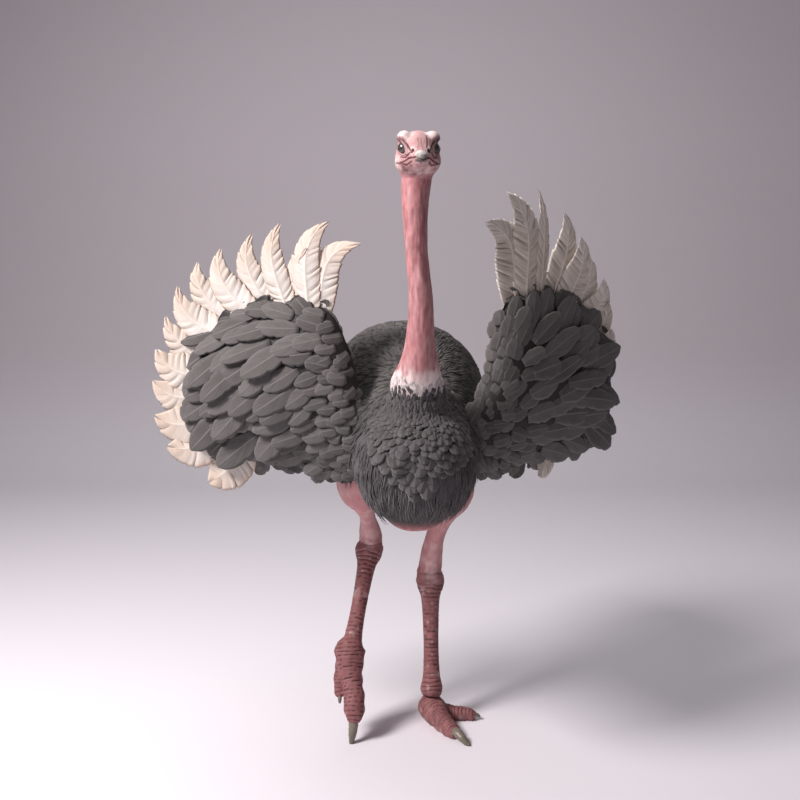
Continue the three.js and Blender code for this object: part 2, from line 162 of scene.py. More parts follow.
# Plumes of each wing: root out, root up, tip out, tip up, sideways bend, half width.
PLUMES = {
    "right": [
        (206, 330, 6, 650, -80, 56), (228, 350, 118, 732, -66, 54), (262, 350, 214, 640, -34, 44),
        (292, 350, 308, 730, -52, 48), (345, 345, 424, 694, -58, 50), (405, 330, 544, 642, -58, 58),
        (455, 300, 646, 592, -58, 62), (495, 260, 724, 500, -56, 66), (520, 200, 786, 386, -54, 68),
        (535, 140, 822, 262, -50, 70), (540, 80, 846, 138, -44, 72), (535, 10, 838, 4, -36, 74),
        (510, -50, 794, -116, -26, 76), (448, -96, 620, -246, -12, 76),
    ],
    "left": [
        (198, 370, -14, 712, -86, 74), (230, 380, 82, 824, -76, 66), (258, 380, 172, 724, -44, 56),
        (293, 380, 240, 846, -34, 26), (343, 370, 382, 766, -54, 60), (393, 350, 458, 676, -54, 66),
        (438, 320, 520, 604, -48, 60), (473, 270, 592, 516, -46, 62), (498, 210, 634, 424, -40, 62),
        (508, 140, 642, 316, -34, 60), (518, 80, 648, 204, -26, 58), (518, 20, 642, 92, -18, 54),
        (394, -120, 270, -234, 14, 42),
    ],
}
TAIL_ROOT = (-22, 322, 1402)
# How far the trunk's skin lies under the coat's surface.
COAT_DEPTH = 15


# ---- Small mathematics ----


def unit(vectors: Array) -> Array:
    """The same vectors, each one long."""
    return vectors / np.maximum(np.linalg.norm(vectors, axis=-1, keepdims=True), 1e-9)


def ramp(low: float, high: float, value: Array) -> Array:
    """A smooth step from 0 at low to 1 at high. low may be above high, which turns it round."""
    x = np.clip((value - low) / (high - low), 0, 1)
    return x * x * (3 - 2 * x)


def bell(distance: Array, width: float) -> Array:
    """1 at no distance, falling smoothly away over about width."""
    return np.exp(-((distance / width) ** 2))


def spot(points: Array, centre: Sequence[float], shape: Sequence[float], width: float) -> Array:
    """1 at a centre, falling smoothly away over about width, and further where shape is more than 1."""
    return bell(np.linalg.norm((points - centre) / shape, axis=-1), width)


def curve(rows: Array, t: Array) -> Array:
    """Values on a smooth curve through rows.

    Args:
        rows: One row for each whole number of t.
        t: Places along the curve, from 0 to the last row.
    Returns:
        One row of values for each place.
    """
    last = len(rows) - 1
    t = np.clip(np.asarray(t, float), 0, last - 1e-9)
    i = np.floor(t).astype(int)
    f = (t - i)[..., None]
    before, here = rows[np.maximum(i - 1, 0)], rows[i]
    there, after = rows[i + 1], rows[np.minimum(i + 2, last)]
    first, second = (there - before) / 2, (after - here) / 2
    cubic = 2 * here - 2 * there + first + second
    square = -3 * here + 3 * there - 2 * first - second
    return ((cubic * f + square) * f + first) * f + here


def noise(points: Array, size: float, seed: int = 0) -> Array:
    """Smooth random values from -1 to 1.

    Args:
        points: Places, in any unit.
        size: How far apart unrelated values are, in the same unit.
        seed: Which of the many patterns.
    Returns:
        One value for each place.
    """
    cell = np.asarray(points, float) / size
    base = np.floor(cell).astype(np.int64)
    f = cell - base
    f = f * f * (3 - 2 * f)
    total = np.zeros(cell.shape[:-1])
    for corner in range(8):
        bits = np.array([corner & 1, (corner >> 1) & 1, (corner >> 2) & 1])
        k = base + bits
        mixed = k[..., 0] * 73856093 ^ k[..., 1] * 19349663 ^ k[..., 2] * 83492791 ^ seed * 374761393
        mixed = (mixed * 2654435761) & 0xFFFFFFFF
        mixed = ((mixed ^ (mixed >> 15)) * 2246822519) & 0xFFFFFFFF
        value = ((mixed ^ (mixed >> 13)) & 0xFFFF) / 32767.5 - 1
        total += value * np.prod(np.where(bits, f, 1 - f), axis=-1)
    return total


def mirrored(points: Array) -> Array:
    """The same places, those on the bird's right moved to their mirror images on its left."""
    side = points.copy()
    side[..., 0] = np.abs(side[..., 0])
    return side


def smooth_min(a: Array, b: Array, blend: float) -> Array:
    """The lesser of two distances, with the corner between them rounded over about blend."""
    h = np.clip(0.5 + 0.5 * (b - a) / blend, 0, 1)
    return b * (1 - h) + a * h - blend * h * (1 - h)


def ellipsoid(points: Array, centre: Sequence[float], half: Sequence[float]) -> Array:
    """How far points are outside an ellipsoid, less than 0 inside it."""
    q = points - np.array(centre, float)
    r = np.array(half, float)
    out = np.linalg.norm(q / r, axis=-1)
    return out * (out - 1) / np.maximum(np.linalg.norm(q / r**2, axis=-1), 1e-9)


def to_line(points: Array, line: Sequence[Sequence[float]]) -> Array:
    """How far flat points are from a line of straight pieces."""
    best = np.full(points.shape[:-1], 1e9)
    for a, b in zip(line, line[1:]):
        a, b = np.array(a, float), np.array(b, float)
        part = np.clip(((points - a) @ (b - a)) / ((b - a) @ (b - a)), 0, 1)
        best = np.minimum(best, np.linalg.norm(points - a - part[..., None] * (b - a), axis=-1))
    return best


# ---- Solids and meshes ----


def standing_shift() -> Array:
    """Where the bird's own standing point is in the frame, in metres, found from its two eyes."""
    corners = [corner for name in ("eye_left", "eye_right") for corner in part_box(name)]
    middle = np.mean([tuple(corner) for corner in corners], axis=0)
    turned = turn_head(np.array([(0, EYE_AT[1], EYE_AT[2])], float))[0] / 1000
    return middle - turned


def turn_head(points: Array, part: Array | float = 1.0) -> Array:
    """Places measured from the centre of the head, in millimetres, put in the bird's own.

    Args:
        points: Places about the centre of the head, before it turns.
        part: How much of the head's turn each takes.
    Returns:
        The same places about the bird's standing point.
    """
    angle = HEAD_TURN * np.asarray(part, float)
    c, s = np.cos(angle), np.sin(angle)
    x, y, z = points[..., 0], points[..., 1], points[..., 2]
    return np.stack([c * x - s * y, s * x + c * y, z], axis=-1) + np.array(HEAD, float)


SHIFT = standing_shift()


def to_frame(points: Array) -> Array:
    """The bird's own millimetres to metres in the frame."""
    return np.asarray(points, float) / 1000 + SHIFT


@dataclass
class Solid:
    """Points and faces of one closed surface in the bird's own millimetres, with marks kept for each point."""

    points: Array
    faces: list[tuple[int, ...]]
    marks: dict[str, Array] = field(default_factory=dict)

    @staticmethod
    def from_rings(rings: Array, **marks: Array | float) -> "Solid":
        """A closed solid from rings of points.

        Args:
            rings: An array of rings by points by 3.
            marks: For each mark's name, its values at the points.
        Returns:
            The solid, facing outward, with a fan closing each end.
        """
        count, sides = rings.shape[:2]
        flat = rings.reshape(-1, 3)
        points = np.concatenate([flat, rings[0].mean(axis=0)[None], rings[-1].mean(axis=0)[None]])
        r, s = np.meshgrid(np.arange(count - 1), np.arange(sides), indexing="ij")
        a, b = r * sides + s, r * sides + (s + 1) % sides
        quads = np.stack([a, b, b + sides, a + sides], axis=-1).reshape(-1, 4)
        first, last = len(flat), len(flat) + 1
        side = np.arange(sides)
        following = (side + 1) % sides
        tail = (count - 1) * sides
        faces = [tuple(q) for q in quads.tolist()]
        faces += [(first, f, s) for s, f in zip(side.tolist(), following.tolist())]
        faces += [(last, tail + s, tail + f) for s, f in zip(side.tolist(), following.tolist())]
        tri = np.concatenate([quads[:, [0, 1, 2]], quads[:, [0, 2, 3]]])
        volume = np.einsum("ij,ij->i", points[tri[:, 0]], np.cross(points[tri[:, 1]], points[tri[:, 2]])).sum()
        if volume < 0:
            faces = [face[::-1] for face in faces]
        kept = {}
        for name, values in marks.items():
            grid = np.broadcast_to(np.asarray(values, float), (count, sides))
            kept[name] = np.concatenate([grid.ravel(), [grid[0].mean(), grid[-1].mean()]])
        return Solid(points, faces, kept)

    def mesh(self, name: str) -> Mesh:
        """A Blender mesh of this solid, placed in the frame, with its marks."""
        mesh = bpy.data.meshes.new(name)
        mesh.from_pydata(to_frame(self.points).tolist(), [], self.faces)
        mesh.update()
        for mark, values in self.marks.items():
            set_numbers(mesh, mark, values)
        return mesh


def add_object(name: str, mesh: Mesh) -> Object:
    """A new object in the scene that shows mesh."""
    thing = bpy.data.objects.new(name, mesh)
    bpy.context.scene.collection.objects.link(thing)
    return thing


def shade_smooth(mesh: Mesh) -> None:
    """Smooth shading over the whole mesh."""
    mesh.polygons.foreach_set("use_smooth", np.ones(len(mesh.polygons), bool))
    mesh.update()


def finished_piece(name: str, mesh: Mesh, material: Material | None, slot: str, *nodes: str) -> Object:
    """A piece of the bird, dressed and told to the frame.

    Args:
        name: The piece's name.
        mesh: Its mesh.
        material: What it is made of, or None for a mesh that has its material.
        slot: The record's material slot; not used.
        nodes: The nodes that it stands for.
    Returns:
        The piece.
    """
    shade_smooth(mesh)
    if material:
        mesh.materials.append(material)
    thing = add_object(name, mesh)
    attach(thing, "root")
    if nodes:
        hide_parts(*nodes)
    return thing


def read_numbers(items: bpy.types.bpy_prop_collection, key: str, width: int = 1, kind: type = np.float32) -> Array:
    """One property of each of a mesh's elements, in rows where it has a width."""
    flat = np.empty(len(items) * width, kind)
    items.foreach_get(key, flat)
    return flat.reshape(-1, width) if width > 1 else flat


def place_of_vertices(mesh: Mesh) -> Array:
    """The places of a mesh's vertices, one row each."""
    return read_numbers(mesh.vertices, "co", 3, np.float64)


def search_tree(places: Array) -> kdtree.KDTree:
    """A tree that finds the nearest of places and knows each by its row."""
    tree = kdtree.KDTree(len(places))
    for row, place in enumerate(places):
        tree.insert(place, row)
    tree.balance()
    return tree


def set_numbers(mesh: Mesh, name: str, values: Array) -> None:
    """Stores one number for each vertex under a name that materials can read."""
    layer = mesh.attributes.new(name, "FLOAT", "POINT")
    layer.data.foreach_set("value", np.ascontiguousarray(values, np.float32))


@dataclass
class Tube:
    """A rounded limb through rows of x, y, z, half size across and half size along its up direction."""

    rows: Array
    up: Point

    @property
    def last(self) -> float:
        """The place of the last row."""
        return len(self.rows) - 1.0

    def frame(self, t: Array) -> tuple[Array, Array, Array, Array, Array]:
        """The centre, the directions along, across and over, and the two half sizes at places t."""
        here = curve(self.rows, t)
        step = 0.02
        ahead = curve(self.rows, np.minimum(t + step, self.last))[..., :3]
        behind = curve(self.rows, np.maximum(t - step, 0))[..., :3]
        along = unit(ahead - behind)
        across = unit(np.cross(np.broadcast_to(self.up, along.shape), along))
        return here[..., :3], along, across, np.cross(along, across), here[..., 3:5]

    def surface(self, t: Array, angle: Array, inset: Array | float = 0.0) -> Array:
        """Places on the surface.

        Args:
            t: Places along the limb.
            angle: Turns about it, of a shape that goes with t.
            inset: How far under the surface.
        Returns:
            One place for each pair.
        """
        centre, _, across, over, half = self.frame(t)
        wide = np.maximum(half[..., 0] - inset, 1.0)[..., None] * np.cos(angle)[..., None]
        deep = np.maximum(half[..., 1] - inset, 1.0)[..., None] * np.sin(angle)[..., None]
        return centre + across * wide + over * deep

    def grid(self, t: Array, sides: int, inset: float = 0.0) -> tuple[Array, Array, Array]:
        """Rings of places at each of t, with the place along the limb and the turn of every point."""
        turn = np.arange(sides) / sides * 2 * math.pi
        t, turn = np.repeat(t[:, None], sides, 1), np.repeat(turn[None], len(t), 0)
        return self.surface(t, turn, inset), t, turn

    def whole(self, rows: int, sides: int) -> tuple[Array, Array, Array]:
        """Rings over the whole limb, with the part of the way along it and the turn of every point."""
        rings, t, turn = self.grid(np.linspace(0, self.last, rows), sides)
        return rings, t / self.last, turn


def ring_normals(rings: Array) -> Array:
    """Directions out of a surface made of rings."""
    around = np.roll(rings, -1, axis=1) - np.roll(rings, 1, axis=1)
    normal = unit(np.cross(around, np.gradient(rings, axis=0)))
    outward = np.einsum("ijk,ijk->ij", normal, rings - rings.mean(axis=1, keepdims=True)).sum()
    return -normal if outward < 0 else normal


def raised(rings: Array, relief: Array) -> Array:
    """Rings with each point moved out of their surface by its relief."""
    return rings + ring_normals(rings) * relief[..., None]


def set_down(rings: Array, rounding: float) -> Array:
    """Rings kept above the floor, with the edge where they meet it rounded."""
    height = np.maximum(rings[..., 2:], 0.0)
    return np.concatenate([rings[..., :2], np.where(height < rounding, height * height / rounding, height)], axis=-1)


# ---- Finishes ----


def linear(colour: str) -> tuple[float, float, float, float]:
    """A #rrggbb colour as the linear values that a shader takes."""
    parts = [int(colour[i : i + 2], 16) / 255 for i in (1, 3, 5)]
    red, green, blue = (p / 12.92 if p <= 0.04045 else ((p + 0.055) / 1.055) ** 2.4 for p in parts)
    return red, green, blue, 1.0


def add_node(tree: NodeTree, kind: str, inputs: dict | None = None, **settings) -> Node:
    """Adds one node with its settings and links.

    Args:
        tree: The tree that gets it.
        kind: Blender's name for the kind of node.
        inputs: For each input's name or number, a value, the output that feeds it, or the node whose first output does.
        settings: The node's own settings.
    Returns:
        The node.
    """
    node = tree.nodes.new(kind)
    for key, value in settings.items():
        setattr(node, key, value)
    for key, value in (inputs or {}).items():
        if isinstance(value, Node):
            value = value.outputs[0]
        if isinstance(value, NodeSocket):
            tree.links.new(value, node.inputs[key])
        else:
            node.inputs[key].default_value = value
    return node


def start_material(name: str) -> tuple[Material, Callable[..., Node]]:
    """A new material with an empty node tree, and what adds a node to that tree."""
    material = bpy.data.materials.new(name)
    material.use_nodes = True
    material.node_tree.nodes.clear()
    return material, partial(add_node, material.node_tree)


@dataclass(frozen=True)
class BareSkin:
    """Bird skin, thin and dry over blood: mottled pink, white on the brows, and horny brick-coloured plates on the
    shanks, which catch a dull light. Painted shade darkens it: dark red in the folds and hollows of bare skin, where
    some random dark mottle also goes, near black in the grooves between the plates, and near black under the
    feathers for the shade in the gaps of the coat."""

    pink: str = "#bf8788"
    blush: str = "#8c5156"
    pale: str = "#ecdcd9"
    # Dark red painted shade for the folds and hollows of bare skin, also used for random dark mottle.
    shade_and_mottle_red: str = "#4e1c20"
    plate: str = "#7d4f4e"
    # Near black painted shade for the grooves between the shank's plates.
    groove: str = "#2e1819"
    # Near black under the feathers: painted shade in the gaps of the coat.
    bed: str = "#2f2c2b"
    mottle_mm: float = 14.0
    pore_mm: float = 1.6

    def material(self) -> Material:
        """Builds the material, which reads the marks kept on the skin."""
        material, add = start_material("bare_bird_skin")
        place = add("ShaderNodeTexCoord").outputs["Object"]
        marks = {
            name: add("ShaderNodeAttribute", attribute_name=name).outputs["Fac"]
            for name in ("fold", "pale", "plated", "feathered", "blush")
        }
        drawn = add("ShaderNodeMapping", {"Vector": place, "Scale": (1, 1, 0.3)})
        blotches = {"Vector": drawn, "Scale": 1000 / self.mottle_mm, "Detail": 6.0, "Roughness": 0.62}
        mottle = add("ShaderNodeTexNoise", blotches)
        patchy = add("ShaderNodeMapRange", {0: mottle, 1: 0.36, 2: 0.68, 3: 0.0, 4: 1.0})
        flushed = add("ShaderNodeMath", {0: patchy, 1: marks["blush"]}, operation="MULTIPLY")
        # The fold mark paints shade into creases, hollows and grooves: dark red on bare skin, near black between
        # plates.
        depths = {0: marks["plated"], 6: linear(self.shade_and_mottle_red), 7: linear(self.groove)}
        deep = add("ShaderNodeMix", depths, data_type="RGBA").outputs[2]
        layers = (
            (flushed, linear(self.blush)), (marks["plated"], linear(self.plate)), (marks["pale"], linear(self.pale)),
            (marks["fold"], deep), (marks["feathered"], linear(self.bed)),
        )
        colour = linear(self.pink)
        for share, over in layers:
            colour = add("ShaderNodeMix", {0: share, 6: colour, 7: over}, data_type="RGBA").outputs[2]
        cells = {"Vector": place, "Scale": 1000 / (2.5 * self.pore_mm), "Randomness": 1.0}
        pores = add("ShaderNodeTexVoronoi", cells, feature="F1")
        fine = add("ShaderNodeTexNoise", {"Vector": place, "Scale": 1000 / self.pore_mm, "Detail": 4.0})
        relief = add("ShaderNodeMath", {0: pores, 1: fine}, operation="ADD")
        bump = add("ShaderNodeBump", {"Height": relief, "Strength": 0.5, "Distance": 0.0008})
        rough = add("ShaderNodeMapRange", {0: mottle, 1: 0.3, 2: 0.7, 3: 0.5, 4: 0.66})
        surface = {
            "Base Color": colour, "Roughness": rough, "Normal": bump, "IOR": 1.42, "Specular IOR Level": 0.4,
            "Subsurface Weight": 0.1, "Subsurface Radius": (0.012, 0.005, 0.003), "Subsurface Scale": 0.5,
        }
        add("ShaderNodeOutputMaterial", {"Surface": add("ShaderNodeBsdfPrincipled", surface)})
        return material


@dataclass(frozen=True)
class Keratin:
    """Horn of bill or claw: layered keratin, polished by use at the tip, dull and fibrous at its base."""

    name: str
    root: str
    tip: str
    streak: str
    roughness: float = 0.42
    fibre_mm: float = 2.2

    def material(self) -> Material:
        """Builds the material, which reads how far toward the tip each place is."""
        material, add = start_material(self.name)
        place = add("ShaderNodeTexCoord").outputs["Object"]
        toward = add("ShaderNodeAttribute", attribute_name="toward_tip").outputs["Fac"]
        clouds = {"Vector": place, "Scale": 1000 / (6 * self.fibre_mm), "Detail": 5.0}
        cloud = add("ShaderNodeTexNoise", clouds)
        shifted = add("ShaderNodeMath", {0: cloud, 1: 0.9, 2: toward}, operation="MULTIPLY_ADD")
        part = add("ShaderNodeMapRange", {0: shifted, 1: 0.45, 2: 1.35, 3: 0.0, 4: 1.0})
        fibres = {"Vector": place, "Scale": 1000 / self.fibre_mm, "Detail": 6.0, "Roughness": 0.7}
        fibre = add("ShaderNodeTexNoise", fibres)
        worn = add("ShaderNodeMapRange", {0: fibre, 1: 0.5, 2: 0.72, 3: 0.0, 4: 0.55})
        colour = linear(self.root)
        for share, over in ((part, self.tip), (worn, self.streak)):
            layer = {0: share, 6: colour, 7: linear(over)}
            colour = add("ShaderNodeMix", layer, data_type="RGBA").outputs[2]
        bump = add("ShaderNodeBump", {"Height": fibre, "Strength": 0.35, "Distance": 0.0009})
        surface = {
            "Base Color": colour, "Roughness": self.roughness, "Normal": bump, "IOR": 1.54, "Specular IOR Level": 0.5,
        }
        add("ShaderNodeOutputMaterial", {"Surface": add("ShaderNodeBsdfPrincipled", surface)})
        return material


@dataclass(frozen=True)
class WetEye:
    """A living eye: a dark grey pupil in a paler, cloudy iris under a wet, clear cornea that mirrors the light."""

    pupil: str = "#3a3635"
    iris: str = "#615d5b"
    rim: str = "#3a3634"

    def material(self) -> Material:
        """Builds the material, which reads how far each place is from the middle of the gaze."""
        material, add = start_material("wet_eye")
        off = add("ShaderNodeAttribute", attribute_name="off_gaze").outputs["Fac"]
        place = add("ShaderNodeTexCoord").outputs["Object"]
        cloud = add("ShaderNodeTexNoise", {"Vector": place, "Scale": 700.0, "Detail": 3.0})
        inner = add("ShaderNodeMapRange", {0: off, 1: 0.34, 2: 0.4, 3: 0.0, 4: 1.0})
        outer = add("ShaderNodeMapRange", {0: off, 1: 0.62, 2: 0.72, 3: 0.0, 4: 1.0})
        pupil, iris, rim = linear(self.pupil), linear(self.iris), linear(self.rim)
        iris = add("ShaderNodeMix", {0: cloud, 6: rim, 7: iris}, data_type="RGBA").outputs[2]
        seen = add("ShaderNodeMix", {0: inner, 6: pupil, 7: iris}, data_type="RGBA").outputs[2]
        colour = add("ShaderNodeMix", {0: outer, 6: seen, 7: rim}, data_type="RGBA").outputs[2]
        surface = {
            "Base Color": colour, "Roughness": 0.2, "IOR": 1.376, "Coat Weight": 1.0, "Coat Roughness": 0.03,
            "Coat IOR": 1.376,
        }
        add("ShaderNodeOutputMaterial", {"Surface": add("ShaderNodeBsdfPrincipled", surface)})
        return material


@dataclass(frozen=True)
class Feather:
    """Feather: soft matt barbs that leave a smooth shaft at a slant, with painted shade between the barbs and in the
    partings between clumps, and paler edges that are wear on most finishes and a painted highlight on the left
    wing's plumes.

    The vane's own map says where each place is: across it from 0 to 1 with the shaft at 0.5, and along it.
    """

    name: str
    barb: str
    shade: str
    edge: str
    shaft: str
    # Painted shade in the partings between clumps of barbs.
    gap: str = "#2c2725"
    edge_part: float = 0.25
    barb_lines: float = 26.0
    slant: float = 0.55
    line_depth: float = 0.35
    roughness: float = 0.88
    sheen: float = 0.12
    grain_mm: float = 30.0

    def material(self) -> Material:
        """Builds the material, which reads the vane's map and each feather's own tint."""
        material, add = start_material(self.name)
        place = add("ShaderNodeTexCoord").outputs["Object"]
        vane = add("ShaderNodeUVMap", uv_map="Vane")
        tint, groove = (add("ShaderNodeAttribute", attribute_name=name).outputs["Fac"] for name in ("tint", "groove"))
        across, along = add("ShaderNodeSeparateXYZ", {0: vane}).outputs[:2]
        side = add("ShaderNodeMath", {0: across, 1: 0.5}, operation="SUBTRACT")
        off = add("ShaderNodeMath", {0: side}, operation="ABSOLUTE")
        slanted = add("ShaderNodeMath", {0: off, 1: -2 * self.slant, 2: along}, operation="MULTIPLY_ADD")
        fine = add("ShaderNodeCombineXYZ", {0: slanted, 1: off, 2: tint})
        stretched = add("ShaderNodeMapping", {"Vector": fine, "Scale": (self.barb_lines, 1.2, 31.0)})
        barbs = {"Vector": stretched, "Scale": 1.0, "Detail": 5.0, "Roughness": 0.66}
        lines = add("ShaderNodeTexNoise", barbs)
        cloud = add("ShaderNodeTexNoise", {"Vector": place, "Scale": 1000 / self.grain_mm, "Detail": 3.0})
        mixed = add("ShaderNodeMath", {0: cloud, 1: 0.6, 2: tint}, operation="MULTIPLY_ADD")
        # What each is read from, the range read, and what that range becomes.
        ranges = (
            (lines, 0.34, 0.62, 1.0, 0.0), (mixed, 0.2, 1.4, 0.0, 0.75), (off, 0.28, 0.5, 0.0, self.edge_part),
            (along, 0.55, 1.0, 0.0, self.edge_part), (groove, 0.3, 1.0, 0.0, 0.9), (off, 0.012, 0.035, 0.8, 0.0),
        )
        parted, light, rim, tip, deep, quill = (add("ShaderNodeMapRange", dict(enumerate(row))) for row in ranges)
        # The edge colour at rims and tips: wear on most finishes, a painted highlight on the left wing's plumes.
        worn = add("ShaderNodeMath", {0: rim, 1: tip}, operation="MAXIMUM")
        # Painted shade between the barbs where they part, and in the partings between clumps.
        dark = add("ShaderNodeMath", {0: parted, 1: self.line_depth}, operation="MULTIPLY")
        colour = linear(self.barb)
        layers = ((light, self.shade), (worn, self.edge), (dark, self.shade), (deep, self.gap), (quill, self.shaft))
        for share, over in layers:
            layer = {0: share, 6: colour, 7: linear(over)}
            colour = add("ShaderNodeMix", layer, data_type="RGBA").outputs[2]
        bump = add("ShaderNodeBump", {"Height": lines, "Strength": 0.6, "Distance": 0.0022})
        surface = {
            "Base Color": colour, "Roughness": self.roughness, "Normal": bump, "Specular IOR Level": 0.22,
            "Sheen Weight": self.sheen, "Sheen Roughness": 0.5,
        }
        add("ShaderNodeOutputMaterial", {"Surface": add("ShaderNodeBsdfPrincipled", surface)})
        return material


@dataclass(frozen=True)
class StudioFloor:
    """Studio sweep: matt and even, near white on the floor and greyer up the wall, the grey painted shade for the
    lesser light that reaches the wall.
    """

    floor: str = "#efebf0"
    wall: str = "#e0d9de"
    turn_m: float = 1.1

    def material(self) -> Material:
        """Builds the material."""
        material, add = start_material("studio_floor")
        place = add("ShaderNodeTexCoord").outputs["Object"]
        height = add("ShaderNodeSeparateXYZ", {0: place}).outputs[2]
        # Greyer with height: painted shade for the wall's lesser light.
        rise = {0: height, 1: 0.0, 2: self.turn_m, 3: 0.0, 4: 1.0}
        risen = add("ShaderNodeMapRange", rise, interpolation_type="SMOOTHSTEP")
        both = {0: risen, 6: linear(self.floor), 7: linear(self.wall)}
        colour = add("ShaderNodeMix", both, data_type="RGBA").outputs[2]
        surface = {"Base Color": colour, "Roughness": 0.85, "Specular IOR Level": 0.2}
        add("ShaderNodeOutputMaterial", {"Surface": add("ShaderNodeBsdfPrincipled", surface)})
        return material


BODY_FEATHER = Feather("grey_body_feather", "#706c6a", "#454140", "#827e7b", "#7a7673", line_depth=0.55)
BREAST_FEATHER = Feather(
    "grey_breast_down", "#5f5a5c", "#3c3839", "#78736f", "#524e4e", edge_part=0.35, barb_lines=18.0, sheen=0.2
)
# Its dark gap colour is painted shade in the partings between clumps of barbs.
WHITE_PLUME = Feather(
    "cream_plume", "#ece8e4", "#c2b6a9", "#cda98c", "#e2dad0", gap="#4a382b", edge_part=0.62, barb_lines=46.0,
    slant=0.0, line_depth=0.6, roughness=0.8, sheen=0.2,
)
# The cream plume repainted for the light on the left wing: barbs brightened as painted light where the key light does
# not reach them, near-white painted highlight on the rims, and deeper painted shade in the vanes and partings.
LEFT_PLUME_PAINTED_LIGHT = Feather(
    "dusky_plume", "#f6ede3", "#a08c79", "#fffaf2", "#efe5d8", gap="#32261f", edge_part=0.6, barb_lines=40.0,
    slant=0.0, line_depth=0.6, roughness=0.85, sheen=0.15,
)
COLLAR_DOWN = Feather(
    "white_neck_down", "#ddd4d2", "#8f8685", "#a39b99", "#d0c8c6", edge_part=0.5, barb_lines=10.0, sheen=0.3
)
BILL_HORN = Keratin("bill_horn", "#e8e2de", "#8b8580", "#b3aaa4")
# Much darker than the upper half's horn: painted shade for the lower half under the upper.
LOWER_BILL_HORN = Keratin("lower_bill_horn", "#77696a", "#4c4343", "#8d8080")
CLAW_HORN = Keratin("claw_horn", "#857a6d", "#5f5749", "#a3998a", roughness=0.38)


# ---- Skin ----

TRUNK_TUBE = Tube(np.array(TRUNK, float), (0, 0, 1))
NECK_TUBE = Tube(np.array(NECK, float), (0, -1, 0))
LEG_UP = (0, -1, 0)


@dataclass(frozen=True)
class Crease:
    """A fold of the face, drawn on the head as seen from the front: distance from the middle and height."""

    line: tuple[tuple[float, float], ...]
    depth: float
    width: float
    sides: tuple[int, ...] = (-1, 1)
    behind: float = -10.0


FACE_CREASES = (
    Crease(((80, 30), (68, 36), (54, 32), (42, 16), (35, 0)), 2.4, 2.2, behind=10),
    Crease(((78, 38), (66, 43), (56, 40), (47, 30)), 1.4, 1.8, behind=10),
    Crease(((36, -14), (48, -26), (60, -24)), 1.8, 2.0, behind=5),
    Crease(((8, -34), (25, -30), (38, -31), (52, -40), (62, -42)), 2.2, 2.0, behind=-20),
    Crease(((30, -42), (42, -51), (60, -45), (72, -42)), 1.8, 2.2, behind=5),
    Crease(((40, 10), (33, -10), (40, -20)), 1.4, 2.2, behind=-20),
    Crease(((24, 46), (25, 26), (22, 4)), 1.5, 2.0, sides=(1,), behind=-20),
    Crease(((6, 36), (3, 18), (8, 2)), 0.7, 1.8, behind=-20),
)


@dataclass(frozen=True)
class EyeSocket:
    """Where an eye looks out, on the bird's left. The other eye is its mirror image."""

    gaze: Point = (0.74, -0.67, 0.04)
    slant: float = math.radians(38)
    half_long: float = 27.0
    half_high: float = 15.5
    corner: float = 1.75

    def axes(self) -> tuple[Array, Array, Array]:
        """The directions of the gaze, of the opening's long axis and of its short one."""
        gaze = unit(np.array(self.gaze))
        forward = np.array([0, -1.0, 0])
        forward = unit(forward - gaze * (gaze @ forward))
        up = np.cross(forward, gaze)
        if up[2] < 0:
            up = -up
        c, s = math.cos(self.slant), math.sin(self.slant)
        return gaze, c * forward - s * up, s * forward + c * up

    def measure(self, points: Array) -> tuple[Array, Array, Array]:
        """How far along the gaze, how far out of the opening (1 at its rim) and how far up each point is."""
        gaze, long, short = self.axes()
        q = points - np.array(EYE_AT, float)
        a, b = np.abs(q @ long) / self.half_long, (q @ short) / self.half_high
        rim = (a**self.corner + np.abs(b) ** self.corner) ** (1 / self.corner)
        return q @ gaze, rim, b


